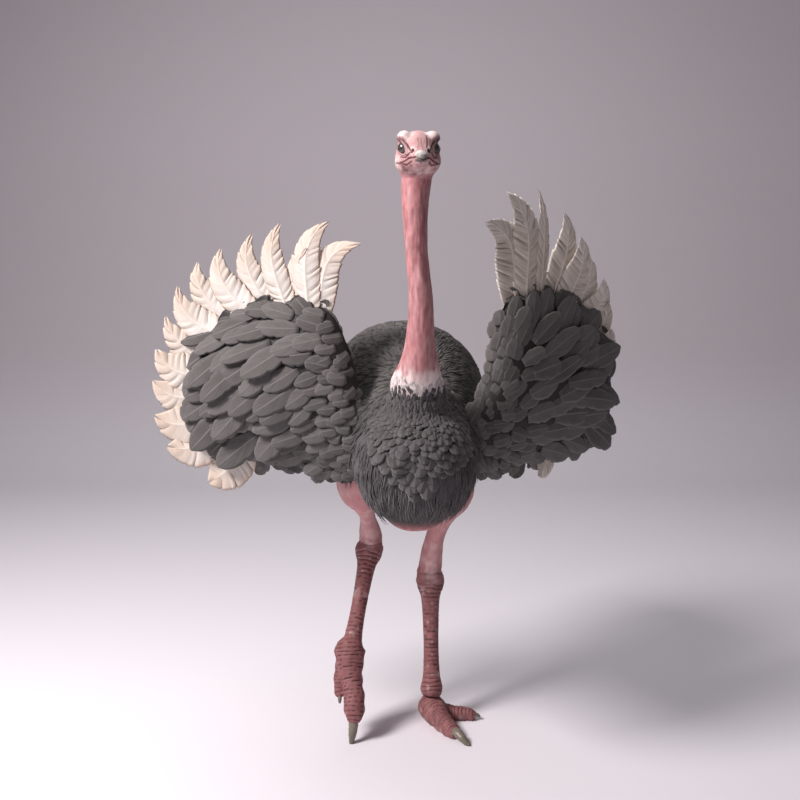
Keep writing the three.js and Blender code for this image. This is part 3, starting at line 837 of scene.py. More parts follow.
@dataclass(frozen=True)
class HeadShape:
    """The head as one smooth surface, in millimetres about its centre before it turns."""

    socket: EyeSocket = EyeSocket()
    nostril: Point = (26.0, -91.0, -9.0)
    nostril_half: Point = (4.4, 9.0, 6.8)
    ear: Point = (70.0, 40.0, -6.0)
    neck_half: tuple[float, float] = (51.0, 56.0)
    shortest_reach: float = 6.0
    longest_reach: float = 130.0
    reach_step: float = 4.0
    halvings: int = 11

    def distance(self, p: Array) -> Array:
        """How far points are outside the head's surface, less than 0 inside it."""
        side = mirrored(p)
        skull = ellipsoid(p, (0, 2, 3), (69, 84, 65))
        brow, cheek = ellipsoid(side, (46, -22, 42), (27.5, 32, 24)), ellipsoid(side, (34, 2, -30), (44, 62, 47))
        throat = ellipsoid(p, (0, -46, -38), (34, 60, 26))
        swells = (self._muzzle(p), 16), (brow, 7), (cheek, 9), (throat, 12), (self._neck(p), 22), (self._lids(side), 5)
        for swell, blend in swells:
            skull = smooth_min(skull, swell, blend)
        x, y, z = self.nostril
        nostril, ear = ellipsoid(side, (x, y - 3, z), (4.4, 10, 6.8)), ellipsoid(side, self.ear, (12, 6, 8))
        for hollow, blend in ((self._opening(side), 2.2), (nostril, 2.0), (ear, 4)):
            skull = -smooth_min(-skull, hollow, blend)
        return skull

    def _muzzle(self, p: Array) -> Array:
        """The face as it narrows to the bill."""
        y, *sizes = np.array(MUZZLE[::-1], float).T
        wide, high, middle = (np.interp(p[..., 1], y, size) for size in sizes)
        out = np.sqrt((p[..., 0] / wide) ** 2 + ((p[..., 2] - middle) / high) ** 2)
        return np.maximum((out - 1) * np.minimum(wide, high), np.maximum(p[..., 1] - 10, -110 - p[..., 1]))

    def _neck(self, p: Array) -> Array:
        """The top of the neck as it enters the head."""
        back = np.interp(p[..., 2], [-94, -20], [32, 18])
        wide, deep = self.neck_half
        out = np.sqrt(((p[..., 0] + 1) / wide) ** 2 + ((p[..., 1] - back) / deep) ** 2)
        return np.maximum((out - 1) * (wide + 1), p[..., 2] + 30)

    def _lids(self, side: Array) -> Array:
        """The lids, a thin shell over the front of the eyeball."""
        along, _, _ = self.socket.measure(side)
        ball = np.linalg.norm(side - np.array(EYE_AT, float), axis=-1) - (EYE_RADIUS + 2.8)
        return np.maximum(ball, -along - 12)

    def _opening(self, side: Array) -> Array:
        """The gap between the lids, as deep as just under the eyeball's surface."""
        along, rim, _ = self.socket.measure(side)
        ball = np.linalg.norm(side - np.array(EYE_AT, float), axis=-1)
        return np.maximum(np.maximum((rim - 1) * self.socket.half_high, (EYE_RADIUS - 2.5) - ball), 4 - along)

    def path(self, s: Array) -> tuple[Array, Array, Array]:
        """The middle line from the neck up and forward to the bill.

        Args:
            s: From 0 at the neck to 1 at the bill.
        Returns:
            The place, the direction to the throat side, and how much of the head's turn it takes.
        """
        bend = 78.0
        quarter = bend * math.pi / 2
        run = 58.0
        far = s * (quarter + run)
        turn = np.minimum(far / bend, math.pi / 2)
        ahead = np.maximum(far - quarter, 0)
        y = -46 + bend * np.cos(turn) - ahead
        z = -94 + bend * np.sin(turn)
        place = np.stack([-2 * ramp(0.4, 0, s), y, z], axis=-1)
        under = np.stack([np.zeros_like(s), -np.cos(turn), -np.sin(turn)], axis=-1)
        return place, under, ramp(0.0, 0.45, s)

    def rings(self, count: int, turns: Array) -> tuple[Array, dict[str, Array]]:
        """Rings over the head, from the neck to the bill, found by walking out from the middle line.

        Args:
            count: How many rings.
            turns: The turn of each point about the middle line, 90 degrees at the throat.
        Returns:
            An array of rings by points by 3, in the bird's own millimetres, and the marks at those points.
        """
        s = np.linspace(0, 1, count)
        place, under, part = self.path(s)
        across = np.array([-1.0, 0, 0])
        out = np.cos(turns)[None, :, None] * across + np.sin(turns)[None, :, None] * under[:, None]
        start = np.repeat(place[:, None], len(turns), 1)
        low = np.zeros(out.shape[:2])
        high = np.full(out.shape[:2], np.nan)
        for reach in np.arange(self.shortest_reach, self.longest_reach + 1, self.reach_step):
            beyond = self.distance(start + out * reach) > 0
            unknown = np.isnan(high)
            high[beyond & unknown] = reach
            low[~beyond & unknown] = reach
        high = np.where(np.isnan(high), low + self.reach_step, high)
        for _ in range(self.halvings):
            middle = (low + high) / 2
            beyond = self.distance(start + out * middle[..., None]) > 0
            high, low = np.where(beyond, middle, high), np.where(beyond, low, middle)
        found = start + out * low[..., None]
        marks = self.marks(found)
        return turn_head(raised(found, self.relief(found)), part[:, None]), marks

    def marks(self, p: Array) -> dict[str, Array]:
        """How much painted shade each place of the face has in its creases and hollows, with a darker mottle low on its
            front, and how pale and how flushed it is.
        """
        side = mirrored(p)
        along, rim, high = self.socket.measure(side)
        about = ramp(0, 12, along)
        nostril = ramp(1.75, 1.05, np.linalg.norm((side - self.nostril) / self.nostril_half, axis=-1))
        lower_face_mottle = ramp(0.15, 0.8, noise(p, 13, 9)) * ramp(0, -35, p[..., 2]) * ramp(30, 0, p[..., 1])
        # Painted shade in the nostrils, the ear, the grooves round the lids, the lids' opening and the creases of the
        # face; the lower front of the face also gets a darker mottle.
        folds = [
            nostril, 0.55 * lower_face_mottle, about * bell(rim - 1.36, 0.08) * 0.9, about * ramp(1.2, 1.02, rim),
            about * ramp(-1.2, 0.3, high) * bell(rim - 1.82, 0.09) * 0.8, 0.8 * spot(side, self.ear, (1, 1, 1), 9),
        ]
        for crease in FACE_CREASES:
            near, front = self.near_crease(p, crease)
            folds.append(front * min(crease.depth / 2.0, 1) * bell(near, 1.5 * crease.width))
        jowl = ramp(58, 78, side[..., 0]) * ramp(-5, -40, p[..., 2]) * ramp(-88, -60, p[..., 2])
        # Brow, beside the nostril, chin, lids and jowl.
        pales = (
            spot(side, (47, -36, 54), (1.35, 1.6, 1.1), 20), 0.95 * spot(side, (31, -92, -4), (1, 1.3, 1.0), 12),
            0.25 * spot(side, (0, -50, -62), (1.6, 1.4, 0.8), 22), about * bell(rim - 1.2, 0.1) * 0.12,
            0.75 * jowl * ramp(-0.6, 0.4, noise(p, 12, 8)),
        )
        patch = ramp(0.0, 0.7, noise(p, 15, 7)) * ramp(20, -30, p[..., 2])
        pale = np.maximum.reduce(pales) * (0.85 + 0.35 * noise(p, 7, 6)) + 0.16 + 0.3 * patch
        flush = 0.35 + 0.35 * ramp(-20, -70, p[..., 2]) + 0.3 * ramp(20, 60, p[..., 1])
        fold = np.clip(np.maximum.reduce(folds), 0, 1)
        return {"fold": fold, "pale": np.clip(pale, 0, 1) * (1 - nostril), "blush": np.clip(flush, 0, 1)}

    def relief(self, p: Array) -> Array:
        """How far each place of the face stands out, for folds and fine wrinkles."""
        total = np.zeros(p.shape[:-1])
        for crease in FACE_CREASES:
            near, front = self.near_crease(p, crease)
            total -= front * crease.depth * bell(near, crease.width)
            total += front * 0.35 * crease.depth * bell(near - 2.2 * crease.width, crease.width)
        along, rim, high = self.socket.measure(mirrored(p))
        about = ramp(0, 12, along)
        brow_side = ramp(-1.2, 0.3, high)
        total += about * (1.5 * bell(rim - 1.14, 0.1) - 1.9 * bell(rim - 1.36, 0.09))
        total += about * brow_side * (1.5 * bell(rim - 1.56, 0.12) - 1.6 * bell(rim - 1.82, 0.1))
        total += about * (1 - brow_side) * (0.9 * bell(rim - 1.6, 0.12) - 1.2 * bell(rim - 1.84, 0.12))
        total += 0.9 * noise(p, 17, 3) + 0.45 * noise(p, 6, 4) + 0.22 * noise(p, 2.6, 5)
        return total

    def near_crease(self, p: Array, crease: Crease) -> tuple[Array, Array]:
        """How far each place is from a crease, and from 0 to 1 how much it faces the crease's side."""
        front = ramp(crease.behind + 14, crease.behind, p[..., 1])
        near = np.full(p.shape[:-1], 1e3)
        for side in crease.sides:
            flat = np.stack([p[..., 0] * side, p[..., 2]], axis=-1)
            near = np.minimum(near, to_line(flat, crease.line))
        return near, front


def around_head(sides: int) -> Array:
    """Turns about the head's middle line, closer together where the eyes are."""
    even = np.arange(sides) / sides * 2 * math.pi
    return even + 0.2 * np.sin(2 * (even + math.radians(12)) + math.pi)


class Region(Enum):
    """The parts of the skin, as numbers kept at each point of it."""

    TRUNK = 0
    NECK = 1
    LEG = 2
    WING_LEFT = 3
    WING_RIGHT = 4


@dataclass(frozen=True)
class NeckAndHead:
    """The neck and head as one skin, from inside the breast to inside the bill."""

    sides: int = 152
    neck_rings: int = 96
    head_rings: int = 150

    def solid(self) -> Solid:
        """The neck and head as one closed solid."""
        turns = around_head(self.sides)
        t = np.linspace(0, NECK_TUBE.last - 0.03, self.neck_rings)
        neck = NECK_TUBE.surface(np.repeat(t[:, None], self.sides, 1), np.repeat(turns[None], len(t), 0))
        height = neck[..., 2]
        drawn = neck * np.array([1, 1, 0.34])
        relief = 1.6 * noise(drawn, 15, 11) + 0.9 * noise(drawn, 7, 12) + 0.35 * noise(neck * [1, 1, 0.5], 3.4, 13)
        relief += 0.9 * noise(neck * [0.25, 0.25, 1], 9, 14) * ramp(1500, 2150, height)
        coat = ramp(1466, 1418, height + 10 * noise(neck, 12, 19))
        relief = relief * (1 - coat) - 4 * ramp(2110, 1900, height) - 7 * ramp(1480, 1400, height)
        neck = raised(neck, relief)
        head, marks = HeadShape().rings(self.head_rings, turns)
        blend = ramp(0, 12, np.arange(len(head)))[:, None, None]
        head = head + (neck[-1] - head[0])[None] * (1 - blend)
        streaks = ramp(0.1, 0.75, noise(drawn, 19, 15) + 0.5 * noise(drawn, 8, 16))
        thin = ramp(0.25, 0.8, -noise(drawn, 13, 17)) * 0.35
        whiter = 0.85 * ramp(1575, 1495, height + 26 * bell(drawn[..., 0], 34))
        whiter = whiter * ramp(-0.5, 0.6, noise(drawn, 9, 18) + ramp(1540, 1480, height))
        neck_marks = {
            "fold": thin * (1 - coat), "pale": np.clip(0.12 * streaks + whiter, 0, 1),
            "blush": 0.75 + 0.25 * noise(neck, 60, 19),
        }
        taken = ramp(6, 60, np.arange(len(head)))[:, None]
        like_neck = np.clip(0.12 * ramp(0.1, 0.75, noise(head * [1, 1, 0.3], 19, 15)), 0, 1)
        marks["pale"] = like_neck + taken * (marks["pale"] - like_neck)
        marks["fold"] = marks["fold"] * taken
        marks["blush"] = 0.8 + taken * (marks["blush"] - 0.8)
        both = {name: np.concatenate([neck_marks[name], marks[name][1:]]) for name in marks}
        covered = np.concatenate([coat, np.zeros_like(marks["fold"][1:])])
        rings = np.concatenate([neck, head[1:]])
        return Solid.from_rings(rings, **both, feathered=covered, plated=0.0, part=Region.NECK.value)


def scutes(along: Array, angle: Array, spacing: float, wobble: Array) -> Array:
    """Cross scales down the front of a leg or toe, from 0 in the grooves to 1 on the plates."""
    phase = along / spacing + 0.16 * np.cos(angle - math.pi / 2) + 0.3 * wobble
    part = phase - np.floor(phase)
    plate = 1 - np.abs(2 * part - 1) ** 5
    return plate * (0.72 + 0.28 * part)


def walked(centres: Array) -> Array:
    """How far along a line of places each is."""
    steps = np.linalg.norm(np.diff(centres, axis=0), axis=-1)
    return np.concatenate([[0], np.cumsum(steps)])


@dataclass(frozen=True)
class Leg:
    """One leg's skin: smooth drumstick, knobbly hock, and a shank with cross scales in front."""

    name: str
    sides: int = 52
    thigh_rings: int = 36
    shank_rings: int = 168
    scale_spacing: float = 17.5

    def tube(self) -> Tube:
        """The plain limb from inside the flank to the ball of the foot."""
        hock, ball = np.array(HOCK[self.name], float), np.array(BALL[self.name], float)
        shank = [(*(hock + (ball - hock) * part), wide, deep) for part, wide, deep in SHANK]
        return Tube(np.array([*THIGH[self.name], *shank], float), LEG_UP)

    def solid(self) -> Solid:
        """The leg as one closed solid."""
        tube = self.tube()
        thigh_end = len(THIGH[self.name]) - 1.0
        thigh = np.linspace(0, thigh_end, self.thigh_rings, endpoint=False)
        t = np.concatenate([thigh, np.linspace(thigh_end, tube.last, self.shank_rings)])
        rings, part, angle = tube.grid(t, self.sides)
        along = np.repeat(walked(rings.mean(axis=1))[:, None], self.sides, 1)
        front = ramp(-0.15, 0.5, np.sin(angle))
        below = ramp(thigh_end + 2.0, thigh_end + 3.2, part)
        plates = scutes(along, angle, self.scale_spacing, noise(rings, 30, 21) + 0.4 * noise(rings, 12, 20))
        relief = front * below * (6.6 * plates - 4.4)
        relief += (1 - front) * below * 0.9 * noise(rings, 6, 22)
        hock = bell(part - (thigh_end + 1.6), 1.1)
        relief += hock * (6.5 * noise(rings, 27, 23) + 2.0 * noise(rings * [1, 1, 2.0], 10, 24))
        ball_joint = bell(part - tube.last, 0.9)
        relief += ball_joint * (4.5 * noise(rings, 24, 36) + 1.5 * noise(rings, 9, 37))
        stripe = bell(np.sin(angle) - 1, 0.16) * bell(part - (thigh_end + 1.0), 1.5)
        relief += 2.6 * stripe
        relief += (1 - below) * (1.4 * noise(rings, 40, 25) + 0.4 * noise(rings, 9, 26))
        horny = ramp(95, -45, rings[..., 2] - HOCK[self.name][2] + 34 * noise(rings, 34, 39))
        # Painted shade in the grooves between the front scales, with a random darker mottle on the hock.
        groove = 0.8 * front * below * ramp(0.7, 0.2, plates) + 0.35 * hock * ramp(0.2, 0.8, noise(rings, 12, 27))
        pale = 0.5 * stripe * (0.7 + 0.5 * noise(rings, 11, 26))
        pale = pale + 0.2 * (1 - horny) * ramp(0, 0.8, noise(rings, 34, 28))
        pale += 0.3 * below * front * ramp(0.3, 0.9, noise(rings, 16, 29))
        return Solid.from_rings(
            raised(rings, relief), fold=np.clip(groove, 0, 1), pale=np.clip(pale, 0, 1),
            blush=0.35 + 0.5 * horny, plated=horny * (0.75 + 0.25 * noise(rings, 28, 30)), feathered=0.0,
            part=Region.LEG.value,
        )


@dataclass(frozen=True)
class Toe:
    """One toe's skin: cross scales above, soft lobed pads beneath, cut level where it meets the floor."""

    name: str
    rows: int = 104
    sides: int = 40
    scale_spacing: float = 15.5
    pad_spacing: float = 58.0

    def solid(self) -> Solid:
        """The toe as one closed solid."""
        up = (0, 0, 1) if self.name.startswith("left") else LEG_UP
        rings, _, angle = Tube(np.array(TOES[self.name], float), up).whole(self.rows, self.sides)
        along = np.repeat(walked(rings.mean(axis=1))[:, None], self.sides, 1)
        inner = np.minimum(ramp(0, 20, along), ramp(0, 16, along[-1:] - along))
        above = ramp(-0.1, 0.45, np.sin(angle))
        plates = scutes(along, angle, self.scale_spacing, noise(rings, 26, 31) + 0.4 * noise(rings, 11, 38))
        relief = above * inner * (4.4 * plates - 2.6)
        lobes = np.cos(along / self.pad_spacing * 2 * math.pi) * 2.2
        relief += (1 - above) * inner * (lobes + 0.7 * noise(rings, 5, 32))
        relief += 1.5 * inner * noise(rings, 24, 33)
        shaped = set_down(raised(rings, relief), 6.0)
        # Painted shade in the grooves between the scales on top.
        groove = above * inner * ramp(0.62, 0.25, plates)
        pale = 0.35 * (1 - above) * ramp(0, 0.7, noise(rings, 20, 34))
        return Solid.from_rings(
            shaped, fold=np.clip(groove, 0, 1), pale=pale, blush=0.8, plated=0.75 + 0.25 * noise(rings, 24, 35),
            feathered=0.0, part=Region.LEG.value,
        )


@dataclass(frozen=True)
class WingSurface:
    """The blade of one wing, as a shallow bowl whose hollow faces backwards, and its skin under the feathers."""

    name: str
    skin_inset: float = 17.0
    skin_rows: int = 44
    skin_sides: int = 48

    def place(self, u: Array, v: Array, n: Array) -> Array:
        """Places from distances out along the wing, up it, and to its front."""
        side = 1 if self.name == "left" else -1
        sweep = WING_SWEEP[self.name]
        root = np.array(WING_ROOT[self.name], float)
        out = np.array([side * math.cos(sweep), math.sin(sweep), 0])
        front = np.array([side * math.sin(sweep), -math.cos(sweep), 0])
        up = np.array([0, 0, 1.0])
        u, v, n = np.broadcast_arrays(u, v, n)
        return root + u[..., None] * out + v[..., None] * up + n[..., None] * front

    def front(self) -> Array:
        """The direction that the blade's front faces."""
        here = np.zeros(1)
        return (self.place(here, here, here + 1) - self.place(here, here, here))[0]

    def section(self, u: Array) -> tuple[Array, Array, Array, Array]:
        """The lower edge, upper edge, half thickness and bulge at distances out."""
        rows = np.array(WING_BLADE, float)
        out = rows[:, :1] * WING_GROWTH[self.name][0]
        fine = np.linspace(0, len(rows) - 1, 400)
        found = curve(rows[:, 1:], np.interp(u, curve(out, fine)[:, 0], fine))
        return tuple(np.moveaxis(found, -1, 0))

    def at(self, u: Array, v: Array, face: float, inset: float = 0.0) -> Array:
        """Places on the blade.

        Args:
            u: Distances out.
            v: Heights up the wing.
            face: 1 for the front, -1 for the back, and between them for inside.
            inset: How far under the surface.
        Returns:
            One place for each pair.
        """
        low, high, thick, bulge = self.section(u)
        grow = WING_GROWTH[self.name][1]
        middle, half = (high + low) / 2, np.maximum((high - low) / 2, 1)
        across = np.clip((v / grow - middle) / half, -1, 1)
        round_off = np.sqrt(1 - across**2)
        n = bulge * (1 - across**2) + face * np.maximum(thick * round_off - inset, 0)
        return self.place(u, v, n)

    def solid(self) -> Solid:
        """The wing's skin as one closed solid."""
        found = curve(np.array(WING_BLADE, float), np.linspace(0, len(WING_BLADE) - 1.12, self.skin_rows))
        grow_out, grow_up = WING_GROWTH[self.name]
        angle = (np.arange(self.skin_sides) + 0.5) / self.skin_sides * 2 * math.pi
        across = np.cos(angle)[None]
        low, high = found[:, 1:2] + self.skin_inset, found[:, 2:3] - self.skin_inset
        middle, half = (low + high) / 2, (high - low) / 2
        dome = found[:, 4:5] * (1 - across**2)
        thick = np.maximum(found[:, 3:4] - self.skin_inset, 5)
        u = np.repeat(found[:, 0:1] * grow_out, self.skin_sides, 1)
        rings = self.place(u, (middle + half * across) * grow_up, dome + thick * np.sin(angle)[None])
        part = Region.WING_LEFT if self.name == "left" else Region.WING_RIGHT
        return Solid.from_rings(rings, fold=0.0, pale=0.0, blush=0.5, plated=0.0, feathered=1.0, part=part.value)


@dataclass(frozen=True)
class Trunk:
    """The trunk's skin under its feathers, bare beneath."""

    rows: int = 90
    sides: int = 96

    def solid(self) -> Solid:
        """The trunk as one closed solid."""
        rings = TRUNK_TUBE.grid(np.linspace(0.25, TRUNK_TUBE.last - 0.1, self.rows), self.sides, COAT_DEPTH)[0]
        bare = self.bareness(rings)
        rings = raised(rings, 1.6 * noise(rings, 45, 41) + 14 * bare)
        return Solid.from_rings(
            rings, fold=0.25 * bare * ramp(0.1, 0.8, noise(rings, 22, 42)),
            pale=0.3 * bare * ramp(0.0, 0.8, noise(rings, 40, 43)), blush=0.8, plated=0.0, feathered=1 - bare,
            part=Region.TRUNK.value,
        )

    def bareness(self, points: Array) -> Array:
        """From 0 to 1, how bare of feathers each place of the underside is, between the thighs."""
        low = ramp(985, 950, points[..., 2])
        return low * ramp(150, 60, points[..., 1]) * ramp(230, 180, np.abs(points[..., 0]))


def join_solids(solids: list[Solid], name: str) -> Mesh:
    """One closed mesh from solids that run into each other.

    Args:
        solids: The solids, each closed.
        name: The mesh's name.
    Returns:
        The mesh, with the corners where they meet smoothed away and each mark taken from the nearest solid.
    """
    things = [
        add_object(f"{name}_{i}", Solid(solid.points, solid.faces).mesh(f"{name}_{i}"))
        for i, solid in enumerate(solids)
    ]
    whole = things[0]
    for other in things[1:]:
        joint = whole.modifiers.new("join", "BOOLEAN")
        joint.operation = "UNION"
        joint.solver = "MANIFOLD"
        joint.object = other
        made = bpy.data.meshes.new_from_object(whole.evaluated_get(bpy.context.evaluated_depsgraph_get()))
        whole.modifiers.clear()
        whole.data = made
        bpy.data.objects.remove(other)
    mesh = whole.data
    mesh.name = name
    bpy.data.objects.remove(whole)
    known = np.concatenate([to_frame(solid.points) for solid in solids])
    tree = search_tree(known)
    nearest = [tree.find(place) for place in place_of_vertices(mesh)]
    source = np.array([found[1] for found in nearest])
    for mark in solids[0].marks:
        set_numbers(mesh, mark, np.concatenate([solid.marks[mark] for solid in solids])[source])
    new_vertex_gap = 2e-5
    soften_seams(mesh, np.array([found[2] for found in nearest]) > new_vertex_gap, reach=0.03, rounds=30)
    return mesh


def soften_seams(mesh: Mesh, fresh: Array, reach: float, rounds: int) -> None:
    """Smooths a joined mesh near the vertices that joining made.

    Args:
        mesh: The mesh, changed in place.
        fresh: Which of its vertices joining made.
        reach: How far from them it is smoothed, in metres.
        rounds: How often.
    """
    places = place_of_vertices(mesh)
    tree = search_tree(places[fresh])
    far = np.array([tree.find(place)[2] for place in places])
    weight = (ramp(reach, reach * 0.3, far) * ramp(0.002, 0.006, places[:, 2]))[:, None]
    a, b = read_numbers(mesh.edges, "vertices", 2, np.int64).T
    count = np.maximum(np.bincount(np.concatenate([a, b]), minlength=len(places)), 1)
    for _ in range(rounds):
        sums = (np.bincount(a, xs[b], len(xs)) + np.bincount(b, xs[a], len(xs)) for xs in places.T)
        total = np.stack(list(sums), axis=-1)
        places = places + weight * 0.6 * (total / count[:, None] - places)
    mesh.vertices.foreach_set("co", places.ravel())
    mesh.update()


@dataclass
class Skin:
    """The bird's whole skin in one piece: trunk, neck, head, wings, legs and toes."""

    finish: BareSkin = BareSkin()

    def build(self) -> Object:
        """Builds the skin and dresses it."""
        parts = [Trunk(), NeckAndHead(), Leg("left"), Leg("right"), *map(Toe, TOES)]
        parts += [WingSurface("left"), WingSurface("right")]
        mesh = join_solids([part.solid() for part in parts], "skin")
        mesh.materials.clear()
        flesh = ["trunk", "neck", "head", "tail"]
        flesh += [f"{part}_{side}" for part in ("wing", "thigh", "shank", "foot") for side in ("left", "right")]
        return finished_piece("skin", mesh, self.finish.material(), "skin", *flesh)


# ---- Bill, eyes and claws ----


def horn_piece(name: str, node: str, rings: Array, finish: Keratin, slot: str) -> Object:
    """A piece of horn in place of a node.

    Args:
        name: The piece's name.
        node: The node that it stands for.
        rings: Its rings, from root to tip.
        finish: What it is made of.
        slot: The record's material slot, passed on to finished_piece; not used.
    Returns:
        The finished piece.
    """
    toward = np.repeat(np.linspace(0, 1, len(rings))[:, None], rings.shape[1], 1)
    mesh = Solid.from_rings(rings, toward_tip=toward).mesh(name)
    return finished_piece(name, mesh, finish.material(), slot, node)


@dataclass
class Bill:
    """A flat, rounded bill in two halves, the upper with a broad nail at its tip and open nostrils."""

    sides: int = 72
    rows: int = 90
    nail_start: float = 0.56
    rim_drop: float = 3.0

    def build(self) -> list[Object]:
        """Builds both halves."""
        return [self.upper(), self.lower()]

    def upper(self) -> Object:
        """The upper half: a raised ridge, a nail set off by a groove, and a cutting edge."""
        rings, part, turn = Tube(np.array(BILL_UPPER, float), (0, 0, 1)).whole(self.rows, self.sides)
        above = ramp(0.0, 0.8, np.sin(turn))
        ridge = bell(np.cos(turn), 0.42) * above
        nail = ramp(self.nail_start - 0.04, self.nail_start + 0.05, part)
        relief = 2.0 * ridge * (1 - nail) + 1.8 * nail * above
        relief -= 1.6 * bell(part - self.nail_start, 0.03) * above
        relief -= 1.2 * bell(np.sin(turn) + 0.05, 0.16)
        relief += 0.5 * noise(rings, 9, 51) + 0.25 * noise(rings, 3, 52)
        hollow = bell((np.abs(rings[..., 0]) - 21) / 5, 1.0) * bell((part - 0.2) / 0.14, 1.0) * above
        rings = raised(rings, relief - 3.4 * hollow)
        rings[..., 2] -= self.rim_drop * nail * ramp(0.2, -0.6, np.sin(turn)) * ramp(0.7, 1.0, part)
        return horn_piece("bill_upper_horn", "bill_upper", turn_head(rings), BILL_HORN, "bill_horn")

    def lower(self) -> Object:
        """The lower half: shallow, with a groove on each side of a broad nail."""
        rings, part, turn = Tube(np.array(BILL_LOWER, float), (0, 0, 1)).whole(self.rows, self.sides)
        below = ramp(0.0, -0.8, np.sin(turn))
        grooves = bell((np.abs(np.cos(turn)) - 0.62) / 0.12, 1.0) * below
        relief = 0.45 * noise(rings, 8, 53) + 0.2 * noise(rings, 3, 54) - 1.3 * grooves * ramp(0.35, 0.6, part)
        rings = turn_head(raised(rings, relief))
        return horn_piece("bill_lower_horn", "bill_lower", rings, LOWER_BILL_HORN, "bill_horn")


@dataclass
class Eyes:
    """Two large dark eyes, each a whole ball behind its lids."""

    rings: int = 44
    sides: int = 56
    cornea: float = 0.045
    finish: WetEye = WetEye()

    def build(self) -> list[Object]:
        """Builds both eyes."""
        material = self.finish.material()
        return [self.eye(side, name, material) for side, name in ((1, "left"), (-1, "right"))]

    def eye(self, side: int, name: str, material: Material) -> Object:
        """One eyeball, its poles along the gaze, with a clear bulge over the iris."""
        gaze, long, short = EyeSocket().axes()
        flip = np.array([side, 1, 1])
        gaze, long, short = gaze * flip, long * flip, short * flip
        tilt = np.linspace(0.03, math.pi - 0.03, self.rings)[:, None]
        turn = (np.arange(self.sides) / self.sides * 2 * math.pi)[None]
        bulge = 1 + self.cornea * bell(tilt, 0.62) - 0.01
        out = np.sin(tilt)[..., None] * (np.cos(turn)[..., None] * long + np.sin(turn)[..., None] * short)
        ball = (out + np.cos(tilt)[..., None] * gaze) * bulge[..., None] * EYE_RADIUS
        rings = turn_head(ball + np.array(EYE_AT) * flip)
        mesh = Solid.from_rings(rings, off_gaze=tilt).mesh(f"eyeball_{name}")
        return finished_piece(mesh.name, mesh, material, "eye", f"eye_{name}")


@dataclass
class Claws:
    """The big blunt claw of each inner toe and the small nail of each outer one."""

    sides: int = 40
    rows: int = 60

    def build(self) -> list[Object]:
        """Builds all four."""
        return [self.claw(name) for name in CLAWS]

    def claw(self, name: str) -> Object:
        """One claw: rounded above, flatter below, with growth rings near its root and fine cracks."""
        up = (0, 0, 1) if name.endswith("left") else LEG_UP
        rings, part, turn = Tube(np.array(CLAWS[name], float), up).whole(self.rows, self.sides)
        big = 1.0 if name.startswith("claw") else 0.4
        relief = big * (0.8 * noise(rings, 8, 61) + 0.4 * noise(rings, 3, 62))
        relief -= big * 1.6 * bell((np.abs(np.cos(turn)) - 0.8) / 0.12, 1.0) * ramp(0.1, -0.3, np.sin(turn))
        relief += big * 0.7 * np.sin(part * 46) * ramp(0.55, 0.2, part)
        return horn_piece(f"{name}_horn", name, set_down(raised(rings, relief), 4.0), CLAW_HORN, "claw_horn")


# ---- Shapes of single feathers ----

# The side of a feather's patch on the body's map, as a part of the map's side.
BAKE_PATCH = 0.003


def feather_mesh(name: str, solids: Sequence[Solid], place: Callable[[Array], Array] = np.asarray) -> Mesh:
    """One mesh from solids, with their marks u and v as its map and the rest as numbers on its points.

    Args:
        name: The mesh's name.
        solids: Its separate closed parts.
        place: What puts their points in place.
    Returns:
        The mesh. If the solids know their place on the body's map, it has a map for baking too.
    """
    points = place(np.concatenate([solid.points for solid in solids]))
    starts = np.cumsum([0] + [len(solid.points) for solid in solids])
    faces = [tuple(i + start for i in face) for solid, start in zip(solids, starts.tolist()) for face in solid.faces]
    mesh = bpy.data.meshes.new(name)
    mesh.from_pydata(points.tolist(), [], faces)
    mesh.update()
    marks = {mark: np.concatenate([solid.marks[mark] for solid in solids]) for mark in solids[0].marks}
    corners = read_numbers(mesh.loops, "vertex_index", kind=np.int64)
    vane = np.stack([marks.pop("u"), marks.pop("v")], axis=-1)[corners]
    mesh.uv_layers.new(name="Vane").data.foreach_set("uv", vane.ravel())
    if "map_x" in marks:
        root = np.stack([marks.pop("map_x"), marks.pop("map_y")], axis=-1)[corners]
        mesh.uv_layers.new(name="OFBake").data.foreach_set("uv", (root + (vane - 0.5) * BAKE_PATCH).ravel())
    for mark, values in marks.items():
        set_numbers(mesh, mark, values)
    return mesh


